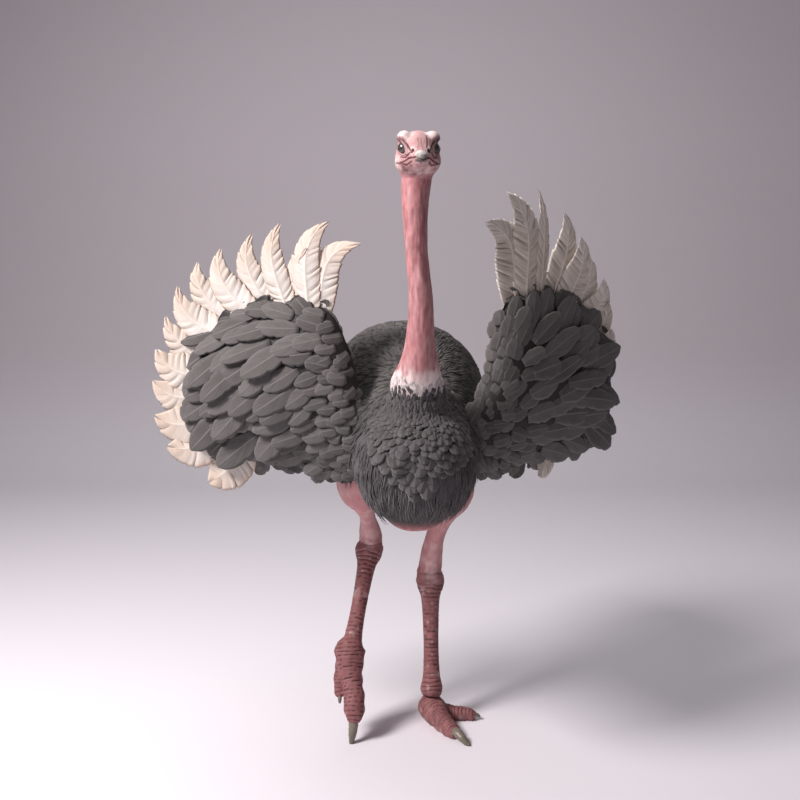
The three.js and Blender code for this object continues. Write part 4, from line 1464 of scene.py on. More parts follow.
@dataclass(frozen=True)
class Vane:
    """A feather with a shaft between two webs: one unit long and wide, its thickness a few tenths of its height."""

    seed: int
    root: float = 0.4
    full: float = 0.4
    blunt: float = 6.0
    splits: int = 2
    droop: float = 1.3
    rows: int = 13
    nick: float = 0.12

    def solids(self) -> list[Solid]:
        """The feather's one solid."""
        draw = np.random.default_rng(self.seed)
        x = np.linspace(0, 1, self.rows) ** 0.85
        half = 0.5 * (self.root + (1 - self.root) * ramp(0, self.full, x))
        half = half * np.sqrt(np.maximum(1 - x**self.blunt, 0.01))
        over = np.array([-1, -0.76, -0.44, -0.12, 0, 0.12, 0.44, 0.76, 1])
        c = np.concatenate([over, over[-2:0:-1]])
        top = np.arange(len(c)) < len(over)
        reach = np.ones((self.rows, len(c)))
        for side in (-1, 1):
            for row in draw.choice(np.arange(4, self.rows - 1), self.splits, replace=False):
                reach[row] *= np.where(c * side > 0.7, 1 - self.nick * draw.uniform(0.6, 1.4), 1.0)
        reach *= 1 + 0.03 * draw.uniform(-1, 1, reach.shape) * (np.abs(c) == 1)
        bend = draw.uniform(-0.12, 0.12)
        y = half[:, None] * c * reach + bend * (x**2)[:, None]
        dome = 0.62 * (1 - c**2) + 0.2 * bell(c, 0.16)
        thick = (0.3 * (1 - c**2) + 0.05) * (1 - top)
        ripple = 0.035 * draw.uniform(-1, 1, (self.rows, len(c))) * (np.abs(c) > 0.3)
        z = (dome - thick)[None] * (1 - 0.45 * x[:, None] ** 3) - self.droop * x[:, None] ** 2 + ripple
        rings = np.stack([np.repeat(x[:, None], len(c), 1), y, z], axis=-1)
        u = np.broadcast_to(0.5 + 0.5 * c * 0.98, y.shape)
        return [Solid.from_rings(rings, u=u, v=rings[..., 0])]


@dataclass(frozen=True)
class Tuft:
    """A small lock of loose, pointed strands from one root."""

    seed: int
    strands: int = 3
    spread: float = 0.8
    droop: float = 1.0
    rows: int = 5

    def solids(self) -> list[Solid]:
        """One solid for each strand."""
        draw = np.random.default_rng(self.seed)
        made = []
        for i in range(self.strands):
            place = (i + 0.5) / self.strands - 0.5 + draw.uniform(-0.06, 0.06)
            length = draw.uniform(0.74, 1.0)
            t = np.linspace(0, 1, self.rows)[:, None]
            x = length * t
            middle = place * (0.6 + self.spread * t) + draw.uniform(-0.1, 0.1) * t**2
            half = (0.62 / self.strands) * (0.55 + 0.45 * np.sin(math.pi * np.minimum(t * 1.4, 1))) * (1 - t**3) + 0.01
            c = np.array([[-1, 0, 1]])
            lift = draw.uniform(0.1, 0.5) * np.sin(math.pi * t) - self.droop * t**2
            z = lift + np.array([[0, 0.5, 0]]) * (1 - 0.8 * t)
            rings = np.stack([np.repeat(x, 3, 1), middle + half * c, z], axis=-1)
            tone = 0.5 + 0.42 * c + 0 * t
            made.append(Solid.from_rings(rings, u=tone, v=np.repeat(t, 3, 1)))
        return made


# ---- Planting ----


@dataclass
class Roots:
    """Where feathers grow, in the bird's own millimetres, and how each of them lies."""

    place: Array
    along: Array
    face: Array
    size: Array
    kind: Array
    tint: Array
    map_place: Array

    def some(self, kept: Array) -> "Roots":
        """Those of the roots that are kept."""
        return Roots(**{name: values[kept] for name, values in vars(self).items()})

    def turns(self) -> Array:
        """A quaternion for each feather: its x along, its z to its face."""
        x = unit(self.along)
        z = unit(self.face - np.sum(self.face * x, axis=-1, keepdims=True) * x)
        y = np.cross(z, x)
        m = np.stack([x, y, z], axis=-1)
        d = m[:, 0, 0], m[:, 1, 1], m[:, 2, 2]
        w = 0.5 * np.sqrt(np.maximum(1 + d[0] + d[1] + d[2], 0))
        i = 0.5 * np.sqrt(np.maximum(1 + d[0] - d[1] - d[2], 0))
        j = 0.5 * np.sqrt(np.maximum(1 - d[0] + d[1] - d[2], 0))
        k = 0.5 * np.sqrt(np.maximum(1 - d[0] - d[1] + d[2], 0))
        i = np.copysign(i, m[:, 2, 1] - m[:, 1, 2])
        j = np.copysign(j, m[:, 0, 2] - m[:, 2, 0])
        k = np.copysign(k, m[:, 1, 0] - m[:, 0, 1])
        return np.stack([w, i, j, k], axis=-1)


def spread(places: Array, gaps: Array) -> Array:
    """Picks places that keep apart: each pick rules out the places nearer to it than its gap."""
    tree = search_tree(places)
    free = np.ones(len(places), bool)
    kept = []
    for i, gap in enumerate(gaps.tolist()):
        if free[i]:
            kept.append(i)
            free[[found[1] for found in tree.find_range(places[i], gap)]] = False
    return np.array(kept)


def planting_tree() -> NodeTree:
    """A node tree that sets feathers on points and turns them into plain mesh.

    Returns:
        The tree. Its inputs are the feathers' collection, their material, a seed and their unevenness.
    """
    tree = bpy.data.node_groups.new("plant_feathers", "GeometryNodeTree")
    sockets = (
        ("Roots", "Geometry"), ("Feathers", "Collection"), ("Material", "Material"), ("Seed", "Int"),
        ("Unevenness", "Float"), ("Coat", "Geometry"),
    )
    for name, kind in sockets:
        way = "OUTPUT" if name == "Coat" else "INPUT"
        tree.interface.new_socket(name, in_out=way, socket_type=f"NodeSocket{kind}")
    add = partial(add_node, tree)
    given = add("NodeGroupInput").outputs
    chosen = {"Collection": given["Feathers"], "Separate Children": True, "Reset Children": True}
    shapes = add("GeometryNodeCollectionInfo", chosen)
    read = {
        name: add("GeometryNodeInputNamedAttribute", {"Name": name}, data_type=kind).outputs["Attribute"]
        for name, kind in (("turn", "QUATERNION"), ("stretch", "FLOAT_VECTOR"), ("kind", "INT"))
    }
    least = add("ShaderNodeMath", {0: 1.0, 1: given["Unevenness"]}, operation="SUBTRACT")
    most = add("ShaderNodeMath", {0: 1.0, 1: given["Unevenness"]}, operation="ADD")
    chance = add("FunctionNodeRandomValue", {2: least, 3: most, "Seed": given["Seed"]}, data_type="FLOAT")
    size = add("ShaderNodeVectorMath", {0: read["stretch"], "Scale": chance.outputs[1]}, operation="SCALE")
    grown = add(
        "GeometryNodeInstanceOnPoints",
        {
            "Points": given["Roots"], "Instance": shapes, "Pick Instance": True,
            "Instance Index": read["kind"], "Rotation": read["turn"], "Scale": size,
        },
    )
    plain = add("GeometryNodeRealizeInstances", {0: grown})
    dressed = add("GeometryNodeSetMaterial", {0: plain, "Material": given["Material"]})
    add("NodeGroupOutput", {0: dressed})
    return tree


PLANTING = planting_tree()


@dataclass
class FeatherBed:
    """One piece of the coat: copies of a few feathers, standing where roots say."""

    name: str
    shapes: Sequence[Vane | Tuft]
    finish: Feather
    slot: str
    seed: int
    unevenness: float = 0.1

    def build(self, roots: Roots) -> Object:
        """Grows the feathers.

        Args:
            roots: Where they stand.
        Returns:
            The piece, as plain mesh with its maps.
        """
        held = bpy.data.collections.new(f"{self.name}_shapes")
        for i, shape in enumerate(self.shapes):
            mesh = feather_mesh(f"{self.name}_{i:02d}", shape.solids())
            held.objects.link(bpy.data.objects.new(f"{self.name}_{i:02d}", mesh))
        ground = add_object(f"{self.name}_roots", self.root_points(roots))
        planting = ground.modifiers.new("planting", "NODES")
        planting.node_group = PLANTING
        chosen = {
            "Feathers": held, "Material": self.finish.material(), "Seed": self.seed, "Unevenness": self.unevenness,
        }
        for socket in PLANTING.interface.items_tree:
            if socket.name in chosen:
                planting[socket.identifier] = chosen[socket.name]
        view = bpy.context.evaluated_depsgraph_get()
        mesh = bpy.data.meshes.new_from_object(
            ground.evaluated_get(view), preserve_all_data_layers=True, depsgraph=view
        )
        bpy.data.objects.remove(ground)
        for shape in list(held.objects):
            bpy.data.objects.remove(shape)
        bpy.data.collections.remove(held)
        mesh.name = self.name
        self.add_bake_map(mesh)
        return finished_piece(self.name, mesh, None, self.slot)

    def root_points(self, roots: Roots) -> Mesh:
        """A mesh of loose points that carries everything the planting reads."""
        mesh = bpy.data.meshes.new(f"{self.name}_roots")
        mesh.from_pydata(to_frame(roots.place).tolist(), [], [])
        held = (
            ("turn", "QUATERNION", "value", roots.turns()),
            ("stretch", "FLOAT_VECTOR", "vector", roots.size / 1000), ("kind", "INT", "value", roots.kind),
            ("root_uv", "FLOAT2", "vector", roots.map_place), ("tint", "FLOAT", "value", roots.tint),
        )
        for name, kind, field_name, values in held:
            layer = mesh.attributes.new(name, kind, "POINT")
            plain = np.int32 if kind == "INT" else np.float32
            layer.data.foreach_set(field_name, np.ascontiguousarray(values, plain).ravel())
        return mesh

    def add_bake_map(self, mesh: Mesh) -> None:
        """Gives every feather a small patch of its own at its root's place on the body's map."""
        corners = read_numbers(mesh.loops, "vertex_index", kind=np.int64)
        roots = read_numbers(mesh.attributes["root_uv"].data, "vector", 2)
        vane = read_numbers(mesh.uv_layers["Vane"].data, "uv", 2)
        patch = roots[corners] + (vane - 0.5) * BAKE_PATCH
        mesh.uv_layers.new(name="OFBake").data.foreach_set("uv", patch.ravel())
        for name in ("root_uv", "turn", "stretch", "kind"):
            if name in mesh.attributes:
                mesh.attributes.remove(mesh.attributes[name])


@dataclass(frozen=True)
class MapCell:
    """One rectangle of the body's map."""

    left: float
    bottom: float
    width: float
    height: float

    def at(self, across: Array, up: Array) -> Array:
        """Places in the cell from parts across and up it, each from 0 to 1."""
        across, up = np.clip(across, 0.01, 0.99), np.clip(up, 0.01, 0.99)
        return np.stack([self.left + self.width * across, self.bottom + self.height * up], axis=-1)


TRUNK_CELL = MapCell(0.0, 0.0, 0.48, 0.48)
NECK_CELL = MapCell(0.5, 0.0, 0.48, 0.3)
WING_CELLS = {
    ("left", 1): MapCell(0.0, 0.5, 0.24, 0.24), ("left", -1): MapCell(0.25, 0.5, 0.24, 0.24),
    ("right", 1): MapCell(0.5, 0.5, 0.24, 0.24), ("right", -1): MapCell(0.75, 0.5, 0.24, 0.24),
}
PLUME_CELLS = {
    "left": MapCell(0.0, 0.75, 0.32, 0.24), "right": MapCell(0.33, 0.75, 0.32, 0.24),
    "tail": MapCell(0.66, 0.75, 0.32, 0.24),
}


def body_map(places: Array, on_neck: Array) -> Array:
    """Places on the body's map for places on its trunk and neck."""
    middle = np.where(on_neck, -560, 0)
    turn = np.where(
        on_neck, np.arctan2(places[:, 0], places[:, 1] - middle), np.arctan2(places[:, 0], places[:, 2] - 1240),
    )
    part = turn / (2 * math.pi) + 0.5
    trunk = TRUNK_CELL.at(part, (places[:, 1] + 700) / 1140)
    neck = NECK_CELL.at(part, (places[:, 2] - 1200) / 400)
    return np.where(on_neck[:, None], neck, trunk)


# ---- Coat of the body ----


class Hide:
    """The skin as ground for feathers: many places spread evenly over it, in the bird's own millimetres."""

    def __init__(self, skin: Object, count: int, seed: int) -> None:
        """Samples the skin.

        Args:
            skin: The finished skin.
            count: How many places.
            seed: Which of the many ways to spread them.
        """
        draw = np.random.default_rng(seed)
        mesh = skin.data
        mesh.calc_loop_triangles()
        corner = read_numbers(mesh.loop_triangles, "vertices", 3, np.int32)
        points = (place_of_vertices(mesh) - SHIFT) * 1000
        normal = read_numbers(mesh.vertex_normals, "vector", 3)
        marks = {name: read_numbers(mesh.attributes[name].data, "value") for name in ("part", "feathered")}
        a, b, c = (points[corner[:, i]] for i in range(3))
        area = np.linalg.norm(np.cross(b - a, c - a), axis=-1)
        height = points[corner[:, 0], 2]
        wanted = (marks["feathered"][corner[:, 0]] > 0.02) | (height < 1560) & (height > 1380)
        area = area * (wanted & (marks["part"][corner[:, 0]] <= Region.NECK.value)) + 1e-9
        picked = corner[draw.choice(len(corner), count, p=area / area.sum())]
        share = draw.dirichlet((1, 1, 1), count)
        self.place = np.einsum("ijk,ij->ik", points[picked], share)
        self.face = unit(np.einsum("ijk,ij->ik", normal[picked], share))
        self.part = marks["part"][picked[:, 0]].round().astype(int)
        self.feathered = np.einsum("ij,ij->i", marks["feathered"][picked], share)


def lie(flow: Array, face: Array, lift: Array | float) -> Array:
    """Directions that follow a flow along a surface, raised off it by a lift in radians."""
    flat = unit(flow - np.sum(flow * face, axis=-1, keepdims=True) * face)
    lift = np.broadcast_to(lift, flat.shape[:1])[:, None]
    return unit(np.cos(lift) * flat + np.sin(lift) * face)


@dataclass
class BodyCoat:
    """Feathers of the trunk and the foot of the neck."""

    seed: int = 200
    neck_root: Point = (4, -536, 1420)
    strand_gap: float = 18.0
    scale_gaps: tuple[float, float] = (9.0, 23.0)
    collar_gap: float = 7.6
    bib_gap: float = 12.0

    def build(self, skin: Object) -> list[Object]:
        """Grows the whole body coat on the skin."""
        hide = Hide(skin, 60000, self.seed)
        made = [self.collar(hide), self.bib(hide), self.scales(hide)]
        return made + self.strands(hide)

    def flow(self, places: Array) -> Array:
        """Which way feathers lie: down the neck, and over the trunk away from the neck's root and a little down."""
        beside = places - np.array(self.neck_root)
        away = unit(beside) + np.array([0, 0, -0.4])
        level = beside * np.array([1, 1, 0])
        down = 0.4 * unit(level) + np.array([0, 0, -1.0])
        near = ramp(1340, 1420, places[:, 2]) * ramp(200, 150, np.linalg.norm(level, axis=-1))
        return away + near[:, None] * (down - away)

    def zone(self, hide: Hide) -> tuple[Array, Array, Array]:
        """How much each place belongs to the white collar, to the fine bib and to the breast's scales."""
        x, y, z = hide.place.T
        on_neck = hide.part == Region.NECK.value
        ragged = noise(hide.place, 26, 71) + 0.5 * noise(hide.place, 9, 72)
        top = 1496 + 24 * ragged - 20 * bell(x, 38)
        mingled = np.random.default_rng(self.seed + 9).uniform(-1, 1, len(x))
        low = 1452 + 16 * noise(hide.place, 34, 71) + 11 * mingled + 0.1 * np.abs(x)
        collar = on_neck & (z < top) & (z > low)
        front = (y < -520) & (np.abs(x) < 165 + 8 * ragged)
        scale = front & (z < 1425 + 14 * ragged) & (z > 1118 + 20 * ragged + 0.8 * np.abs(x))
        bib = (z <= low) & (z > 1300) & ((y < -482) | on_neck) & ~scale
        return collar, bib, scale

    def pick(self, hide: Hide, which: Array, gap: Array | float, upright: float = 1.0) -> Array:
        """Numbers of places of the hide that are wanted and keep apart, closer by upright from top to bottom."""
        found = np.flatnonzero(which)
        gaps = np.broadcast_to(gap, hide.part.shape)[found]
        return found[spread(hide.place[found] * np.array([1, 1, upright]), gaps)]

    def roots(
        self, hide: Hide, chosen: Array, size: Array, lift: Array | float, kinds: int, draw: np.random.Generator
    ) -> Roots:
        """Roots at chosen places of the hide.

        Args:
            hide: The places.
            chosen: Which of them.
            size: Length, width and height for each.
            lift: How far each stands off, in radians.
            kinds: How many shapes there are to choose from.
            draw: The source of chance.
        Returns:
            The roots, a little under the skin.
        """
        place, face = hide.place[chosen], hide.face[chosen]
        flow = self.flow(place) + 0.16 * draw.normal(size=place.shape)
        on_neck = hide.part[chosen] == Region.NECK.value
        return Roots(
            place=place - 2.0 * face, along=lie(flow, face, lift), face=face,
            size=np.broadcast_to(size, place.shape) * draw.uniform(0.88, 1.12, (len(place), 1)),
            kind=draw.integers(0, kinds, len(place)), tint=draw.random(len(place)),
            map_place=body_map(place, on_neck),
        )

    def collar(self, hide: Hide) -> Object:
        """The ragged ring of white down where bare neck meets feathers."""
        draw = np.random.default_rng(self.seed + 1)
        chosen = self.pick(hide, self.zone(hide)[0], self.collar_gap)
        lift = draw.uniform(0.0, 0.07, len(chosen))
        size = np.stack([draw.uniform(20, 36, len(chosen)), draw.uniform(10, 15, len(chosen))], -1)
        size = np.column_stack([size, np.full(len(chosen), 5.0)])
        shapes = [Tuft(210 + i, strands=3, spread=0.8, droop=0.9, rows=4) for i in range(5)]
        bed = FeatherBed("collar_down", shapes, COLLAR_DOWN, "plume", 211, 0.18)
        return bed.build(self.roots(hide, chosen, size, lift, len(shapes), draw))

    def bib(self, hide: Hide) -> Object:
        """Fine short down below the collar and over the shoulders."""
        draw = np.random.default_rng(self.seed + 2)
        chosen = self.pick(hide, self.zone(hide)[1], self.bib_gap)
        shapes = [Tuft(220 + i, strands=3, spread=0.7, droop=0.8, rows=4) for i in range(5)]
        bed = FeatherBed("bib_down", shapes, BREAST_FEATHER, "body_feather", 221, 0.15)
        lift = draw.uniform(0.05, 0.2, len(chosen))
        return bed.build(self.roots(hide, chosen, np.array([32, 15, 7.0]), lift, len(shapes), draw))

    def scales(self, hide: Hide) -> Object:
        """Rounded, overlapping feathers of the breast, growing from grains under the collar to scales lower down."""
        draw = np.random.default_rng(self.seed + 3)
        least, most = self.scale_gaps
        gap = least + (most - least) * ramp(1400, 1230, hide.place[:, 2])
        chosen = self.pick(hide, self.zone(hide)[2], gap, 1.25)
        wide = gap[chosen]
        long = ramp(1190, 1110, hide.place[chosen, 2])
        size = np.column_stack([1.45 * wide + 8 + 12 * long, 2.3 * wide - 6 * long, 5.0 + 0.2 * wide])
        shapes = [
            Vane(230 + i, root=0.8, full=0.35, blunt=2.6, splits=1, droop=0.45, rows=8, nick=0.05) for i in range(6)
        ]
        bed = FeatherBed("breast_scales", shapes, BREAST_FEATHER, "body_feather", 231, 0.1)
        lift = draw.uniform(0.34, 0.52, len(chosen))
        return bed.build(self.roots(hide, chosen, size, lift, len(shapes), draw))

    def strands(self, hide: Hide) -> list[Object]:
        """Long loose feathers over the rest of the trunk, in four pieces from front to back."""
        draw = np.random.default_rng(self.seed + 4)
        collar, bib, scale = self.zone(hide)
        _, y, z = hide.place.T
        rest = ~collar & ~bib & ~scale & (hide.part == Region.TRUNK.value) & (hide.feathered > 0.55)
        rest = rest & ((z > 1035) | (y > 60))
        upper = ramp(1300, 1450, z)
        gap = self.strand_gap * (1 + 0.4 * ramp(-100, 150, y) * (1 - upper))
        chosen = self.pick(hide, rest, gap)
        y, high = y[chosen], upper[chosen]
        size = np.column_stack([88 - 14 * high, 24 - 2 * high, 9 - 2 * high])
        lift = draw.uniform(0.03, 0.14, len(chosen)) * (1 - 0.4 * high)
        shapes = [Tuft(240 + i, strands=3, spread=0.6, droop=1.1, rows=5) for i in range(6)]
        whole = self.roots(hide, chosen, size, lift, len(shapes), draw)
        made = []
        for name, low, top in (("front", -900, -442), ("middle", -442, -170), ("back", -170, 90), ("rump", 90, 900)):
            kept = (y >= low) & (y < top)
            finish = BREAST_FEATHER if name == "front" else BODY_FEATHER
            bed = FeatherBed(f"body_strands_{name}", shapes, finish, "body_feather", 241, 0.15)
            made.append(bed.build(whole.some(kept)))
        return made


# ---- Wings and tail ----


@dataclass
class Coverts:
    """The grey feathers of one face of a wing: small and round at the shoulder, long and blunt further out."""

    name: str
    face: int
    seed: int
    inset: float = 17.0
    full_length: float = 700.0
    # How far tips may pass the blade's upper edge, on its front and on its back.
    overshoot: ClassVar[dict[int, int]] = {1: 16, -1: -14}

    def way(self, u: Array, v: Array) -> tuple[Array, Array]:
        """Which way the feathers point, out along the wing and up it."""
        top = ramp(250, 420, v)
        if self.face < 0:
            angle = np.degrees(np.arctan((v - 60) / 330))
        elif self.name == "right":
            angle = -34 - 14 * ramp(350, 600, u) * ramp(260, 0, v) + 26 * top
            angle = angle + 55 * ramp(330, 180, u) * ramp(290, 410, v)
            near = ramp(190, 110, u)
            angle = near * -7 + (1 - near) * angle
        else:
            angle = np.degrees(np.arctan2(v + 70, u + 130)) - 34 * ramp(300, 600, u) * ramp(330, 60, v)
        angle = np.radians(angle)
        return np.cos(angle), np.sin(angle)

    def kept_inside(self, wing: WingSurface, u: Array, v: Array, flow: Array, length: Array) -> Array:
        """How much each feather is shortened so that its tip stays near the wing's outline."""
        grow_out, grow_up = WING_GROWTH[self.name]
        out_way, up_way = wing.place(np.ones(1), np.zeros(1), np.zeros(1)), np.array([0, 0, 1.0])
        out_way = out_way[0] - wing.place(np.zeros(1), np.zeros(1), np.zeros(1))[0]
        over = self.overshoot[self.face]
        share = np.ones(len(u))
        for _ in range(6):
            reach = share * length * 0.92
            tip_u, tip_v = u + reach * (flow @ out_way), v + reach * (flow @ up_way)
            low, high, _, _ = wing.section(np.minimum(tip_u, self.full_length * grow_out))
            beyond = (tip_v < (low - 4) * grow_up) | (tip_v > (high + over) * grow_up)
            beyond = beyond | (tip_u > self.full_length * grow_out)
            share = np.where(beyond, share * 0.8, share)
        return share

    def build(self) -> Object:
        """Grows the feathers."""
        draw = np.random.default_rng(self.seed)
        wing = WingSurface(self.name)
        grow_out, grow_up = WING_GROWTH[self.name]
        u = draw.uniform(-75, self.full_length * grow_out, 9000)
        v = draw.uniform(-235, 455, 9000) * grow_up
        low, high, _, _ = wing.section(u)
        inside = (v > (low + 16) * grow_up) & (v < (high - 10) * grow_up)
        u, v = u[inside], v[inside]
        big = ramp(60, 280, u) * (1 - 0.5 * ramp(300, 430, v)) if self.name == "right" else ramp(50, 230, u)
        big = big * (1 - 0.4 * ramp(-40, -180, v))
        place = wing.at(u, v, self.face, self.inset)
        chosen = spread(place, 31 + 29 * big)
        u, v, big, place = u[chosen], v[chosen], big[chosen], place[chosen]
        step = 4.0
        by_u = wing.at(u + step, v, self.face, self.inset) - wing.at(u - step, v, self.face, self.inset)
        by_v = wing.at(u, v + step, self.face, self.inset) - wing.at(u, v - step, self.face, self.inset)
        face = unit(np.cross(by_u, by_v))
        front = wing.front()
        face = face * np.sign(np.sum(face * front, axis=-1, keepdims=True)) * self.face
        face = unit(face + 0.5 * self.face * front + np.array([0, 0, 0.2]))
        out, up = self.way(u, v)
        flow = unit(by_u) * out[:, None] + unit(by_v) * up[:, None]
        flow = unit(flow) + 0.17 * draw.normal(size=flow.shape)
        size = np.column_stack([62 + 122 * big, 53 + 44 * big, 6 + 1 * big])
        size = size * draw.uniform(0.84, 1.18, size.shape)
        size[:, 0] *= self.kept_inside(wing, u, v, flow, size[:, 0])
        round_ones = [Vane(250 + i, root=0.7, full=0.3, blunt=4.2, splits=1, droop=0.9, rows=10) for i in range(4)]
        long_ones = [Vane(260 + i, root=0.55, full=0.5, blunt=3.2, splits=1, droop=2.0) for i in range(8)]
        kind = np.where(big < 0.35, draw.integers(0, 4, len(u)), 4 + draw.integers(0, 8, len(u)))
        cell = WING_CELLS[(self.name, self.face)]
        roots = Roots(
            place=place, along=lie(flow, face, draw.uniform(0.08, 0.2, len(u))), face=face, size=size, kind=kind,
            tint=draw.random(len(u)), map_place=cell.at((u + 80) / 810, (v + 240) / 720),
        )
        where = "front" if self.face > 0 else "back"
        bed = FeatherBed(
            f"wing_{self.name}_coverts_{where}", round_ones + long_ones, BODY_FEATHER, "body_feather", self.seed, 0.06
        )
        return bed.build(roots)


def leaf_width(t: Array, bluntness: float) -> Array:
    """How wide a plume is along its length, as a part of its widest."""
    swell = 0.4 + 0.6 * np.sin(math.pi * np.minimum(1, 0.06 + 0.72 * t))
    return np.maximum(0.05, swell * (1 - np.clip(t, 0, 1) ** bluntness))


@dataclass(frozen=True)
class Plume:
    """One plume: a curved shaft with a loose vane on each side, parted into clumps of barbs."""

    centre: Callable[[Array], Array]
    face: Point
    half_width: float
    bluntness: float
    map_place: Array
    clump: float = 33.0
    groove_depth: float = 5.2
    roll: float = 0.16

    def frame(self, t: Array) -> tuple[Array, Array, Array]:
        """The shaft's places, and the directions across the plume and out of its face."""
        step = 0.01
        along = unit(self.centre(np.minimum(t + step, 1)) - self.centre(np.maximum(t - step, 0)))
        face = np.broadcast_to(unit(np.array(self.face)), along.shape)
        face = unit(face - np.sum(face * along, axis=-1, keepdims=True) * along)
        return self.centre(t), np.cross(face, along), face

    def solid(self, draw: np.random.Generator) -> Solid:
        """The plume as one closed solid, its rings lying along its barbs.

        Args:
            draw: The source of chance.
        Returns:
            The solid, with its map, its grooves, its tint and its place on the body's map as marks.
        """
        length = walked(self.centre(np.linspace(0, 1, 60)))[-1]
        count = max(int(length / self.clump), 8)
        cuts = np.linspace(0, 1, count + 1) ** 0.94
        cuts[1:-1] += draw.uniform(-0.26, 0.26, count - 1) / count
        t = np.concatenate([a + (b - a) * np.array([0, 0.13, 0.5, 0.87]) for a, b in zip(cuts, cuts[1:])])
        t = np.clip(np.append(t, 1.0), 0.0, 0.999)
        stem, ends = 0.88 * t, 0.88 * t + 0.06 + 0.06 * t
        parting = np.tile([1.0, 0, 0, 0], count + 1)[: len(t)]
        owner = np.minimum(np.arange(len(t)) // 4, count - 1)
        over = np.array([-1, -0.86, -0.68, -0.5, -0.32, -0.16, -0.05, 0, 0.05, 0.16, 0.32, 0.5, 0.68, 0.86, 1])
        c = np.concatenate([over, over[-2:0:-1]])
        under = np.arange(len(c)) >= len(over)
        side = np.where(c < 0, 0, 1)
        part = np.abs(c)[None]
        half = self.half_width * leaf_width(ends, self.bluntness)[:, None]
        strength = draw.uniform(0.1, 1.0, (2, count))[:, owner].T[:, side] ** 1.4
        longer = draw.uniform(-0.035, 0.035, (2, count))[:, owner].T[:, side]
        notch = (0.06 + 0.08 * t[:, None]) * parting[:, None] * strength
        lean = np.tile([0.0, -0.01, 0.01, 0.03], count + 1)[: len(t), None]
        rim = ramp(0.45, 1.0, part)
        out = part * half * (1 + rim * (longer + lean - notch))
        at = stem[:, None] + (ends - stem)[:, None] * part**1.35 * (1 + 0.8 * rim * (longer + lean - notch))
        middle, across, face = (self.frame(at.ravel())[i].reshape(*at.shape, 3) for i in range(3))
        wave = draw.uniform(-1, 1, (2, count))[:, owner].T[:, side]
        # Where clumps part; the finish paints shade there.
        groove = parting[:, None] * strength * ramp(0.08, 0.4, part)
        shaft = 4.6 * (1 - 0.8 * t[:, None]) * ramp(0.1, 0.0, part)
        height = shaft - self.roll * out * part - self.groove_depth * groove + 2.2 * wave * part
        thick = 1.0 + 1.2 * (1 - part) + 0.8 * shaft
        height = height - under[None] * thick
        points = middle + (np.sign(c)[None] * out)[..., None] * across + height[..., None] * face
        u = 0.5 + 0.49 * c[None] + 0 * t[:, None]
        tone = 0.25 + 0.5 * draw.random()
        return Solid.from_rings(
            points, u=u, v=t[:, None] + 0 * c[None], groove=groove, tint=np.clip(tone + 0.22 * wave, 0, 1),
            map_x=self.map_place[0], map_y=self.map_place[1],
        )


def wing_plume(name: str, row: Sequence[float], layer: float) -> Plume:
    """One plume of a wing's edge.

    Args:
        name: The wing.
        row: Root out and up, tip out and up, sideways bend, and half width.
        layer: How far in front of the wing's middle it starts.
    Returns:
        The plume.
    """
    wing = WingSurface(name)
    root, tip = np.array(row[0:2], float), np.array(row[2:4], float)
    bend, half_width = row[4], row[5]
    along = (tip - root) / np.linalg.norm(tip - root)
    across = np.array([-along[1], along[0]])
    cell = PLUME_CELLS[name]
    widen = 1.12 if name == "right" else 1.15

    def centre(t: Array) -> Array:
        """Places along its shaft."""
        flat = root + (tip - root) * t[:, None] + across * (bend * 6.75 * t * t * (1 - t))[:, None]
        return wing.place(flat[:, 0], flat[:, 1], layer + 30 * t * t)

    place = cell.at(np.array((row[0] + 20) / 700), np.array((row[1] + 240) / 720))
    return Plume(centre, tuple(wing.front()), half_width * widen, 7.0 if row[3] < 380 else 4.5, place)


@dataclass(frozen=True)
class TailTier:
    """One fan of drooping tail plumes."""

    count: int
    rise: float
    spread: float
    reach: float
    drop: float
    half_width: float

    def plumes(self) -> list[Plume]:
        """The fan's plumes from one side to the other."""
        return [self.plume(2 * i / (self.count - 1) - 1, 1 if i % 2 == 0 else 0.86) for i in range(self.count)]

    def plume(self, fan: float, uneven: float) -> Plume:
        """One plume of the fan.

        Args:
            fan: From -1 at one side to 1 at the other.
            uneven: Its length beside its neighbours'.
        Returns:
            The plume.
        """
        turn = math.radians(fan * self.spread)
        out = np.array([math.sin(turn), math.cos(turn), 0])
        size = uneven * (1 - 0.2 * fan * fan)

        def centre(t: Array) -> Array:
            """Places along its shaft."""
            reach = 40 + self.reach * size * np.sin(t * math.pi / 2)
            height = self.rise + 36 * np.sin(math.pi * t) - self.drop * size * t * t
            return np.array(TAIL_ROOT) + reach[:, None] * out + height[:, None] * np.array([0, 0, 1.0])

        place = PLUME_CELLS["tail"].at(np.array(0.5 + 0.42 * fan), np.array(0.5 + self.rise / 140))
        return Plume(centre, tuple(out * 0.8 + np.array([0, 0, 0.6])), self.half_width * 1.1, 6.0, place)


TAIL_TIERS = (TailTier(5, 46, 40, 290, 150, 50), TailTier(6, 0, 58, 262, 262, 52), TailTier(5, -46, 50, 190, 320, 52))


@dataclass
class PlumeFan:
    """A set of white plumes as one piece of the coat."""

    name: str
    seed: int
    finish: Feather

    def build(self, plumes: Sequence[Plume]) -> Object:
        """Grows the plumes.

        Args:
            plumes: The plumes of the set.
        Returns:
            The piece, as plain mesh with its maps.
        """
        draw = np.random.default_rng(self.seed)
        mesh = feather_mesh(self.name, [plume.solid(draw) for plume in plumes], to_frame)
        return finished_piece(self.name, mesh, self.finish.material(), "plume")


def wing_plumes(name: str) -> list[Plume]:
    """All the plumes of one wing."""
    return [wing_plume(name, row, 4.0 if i % 2 == 0 else 16.0) for i, row in enumerate(PLUMES[name])]


# ---- Studio ----


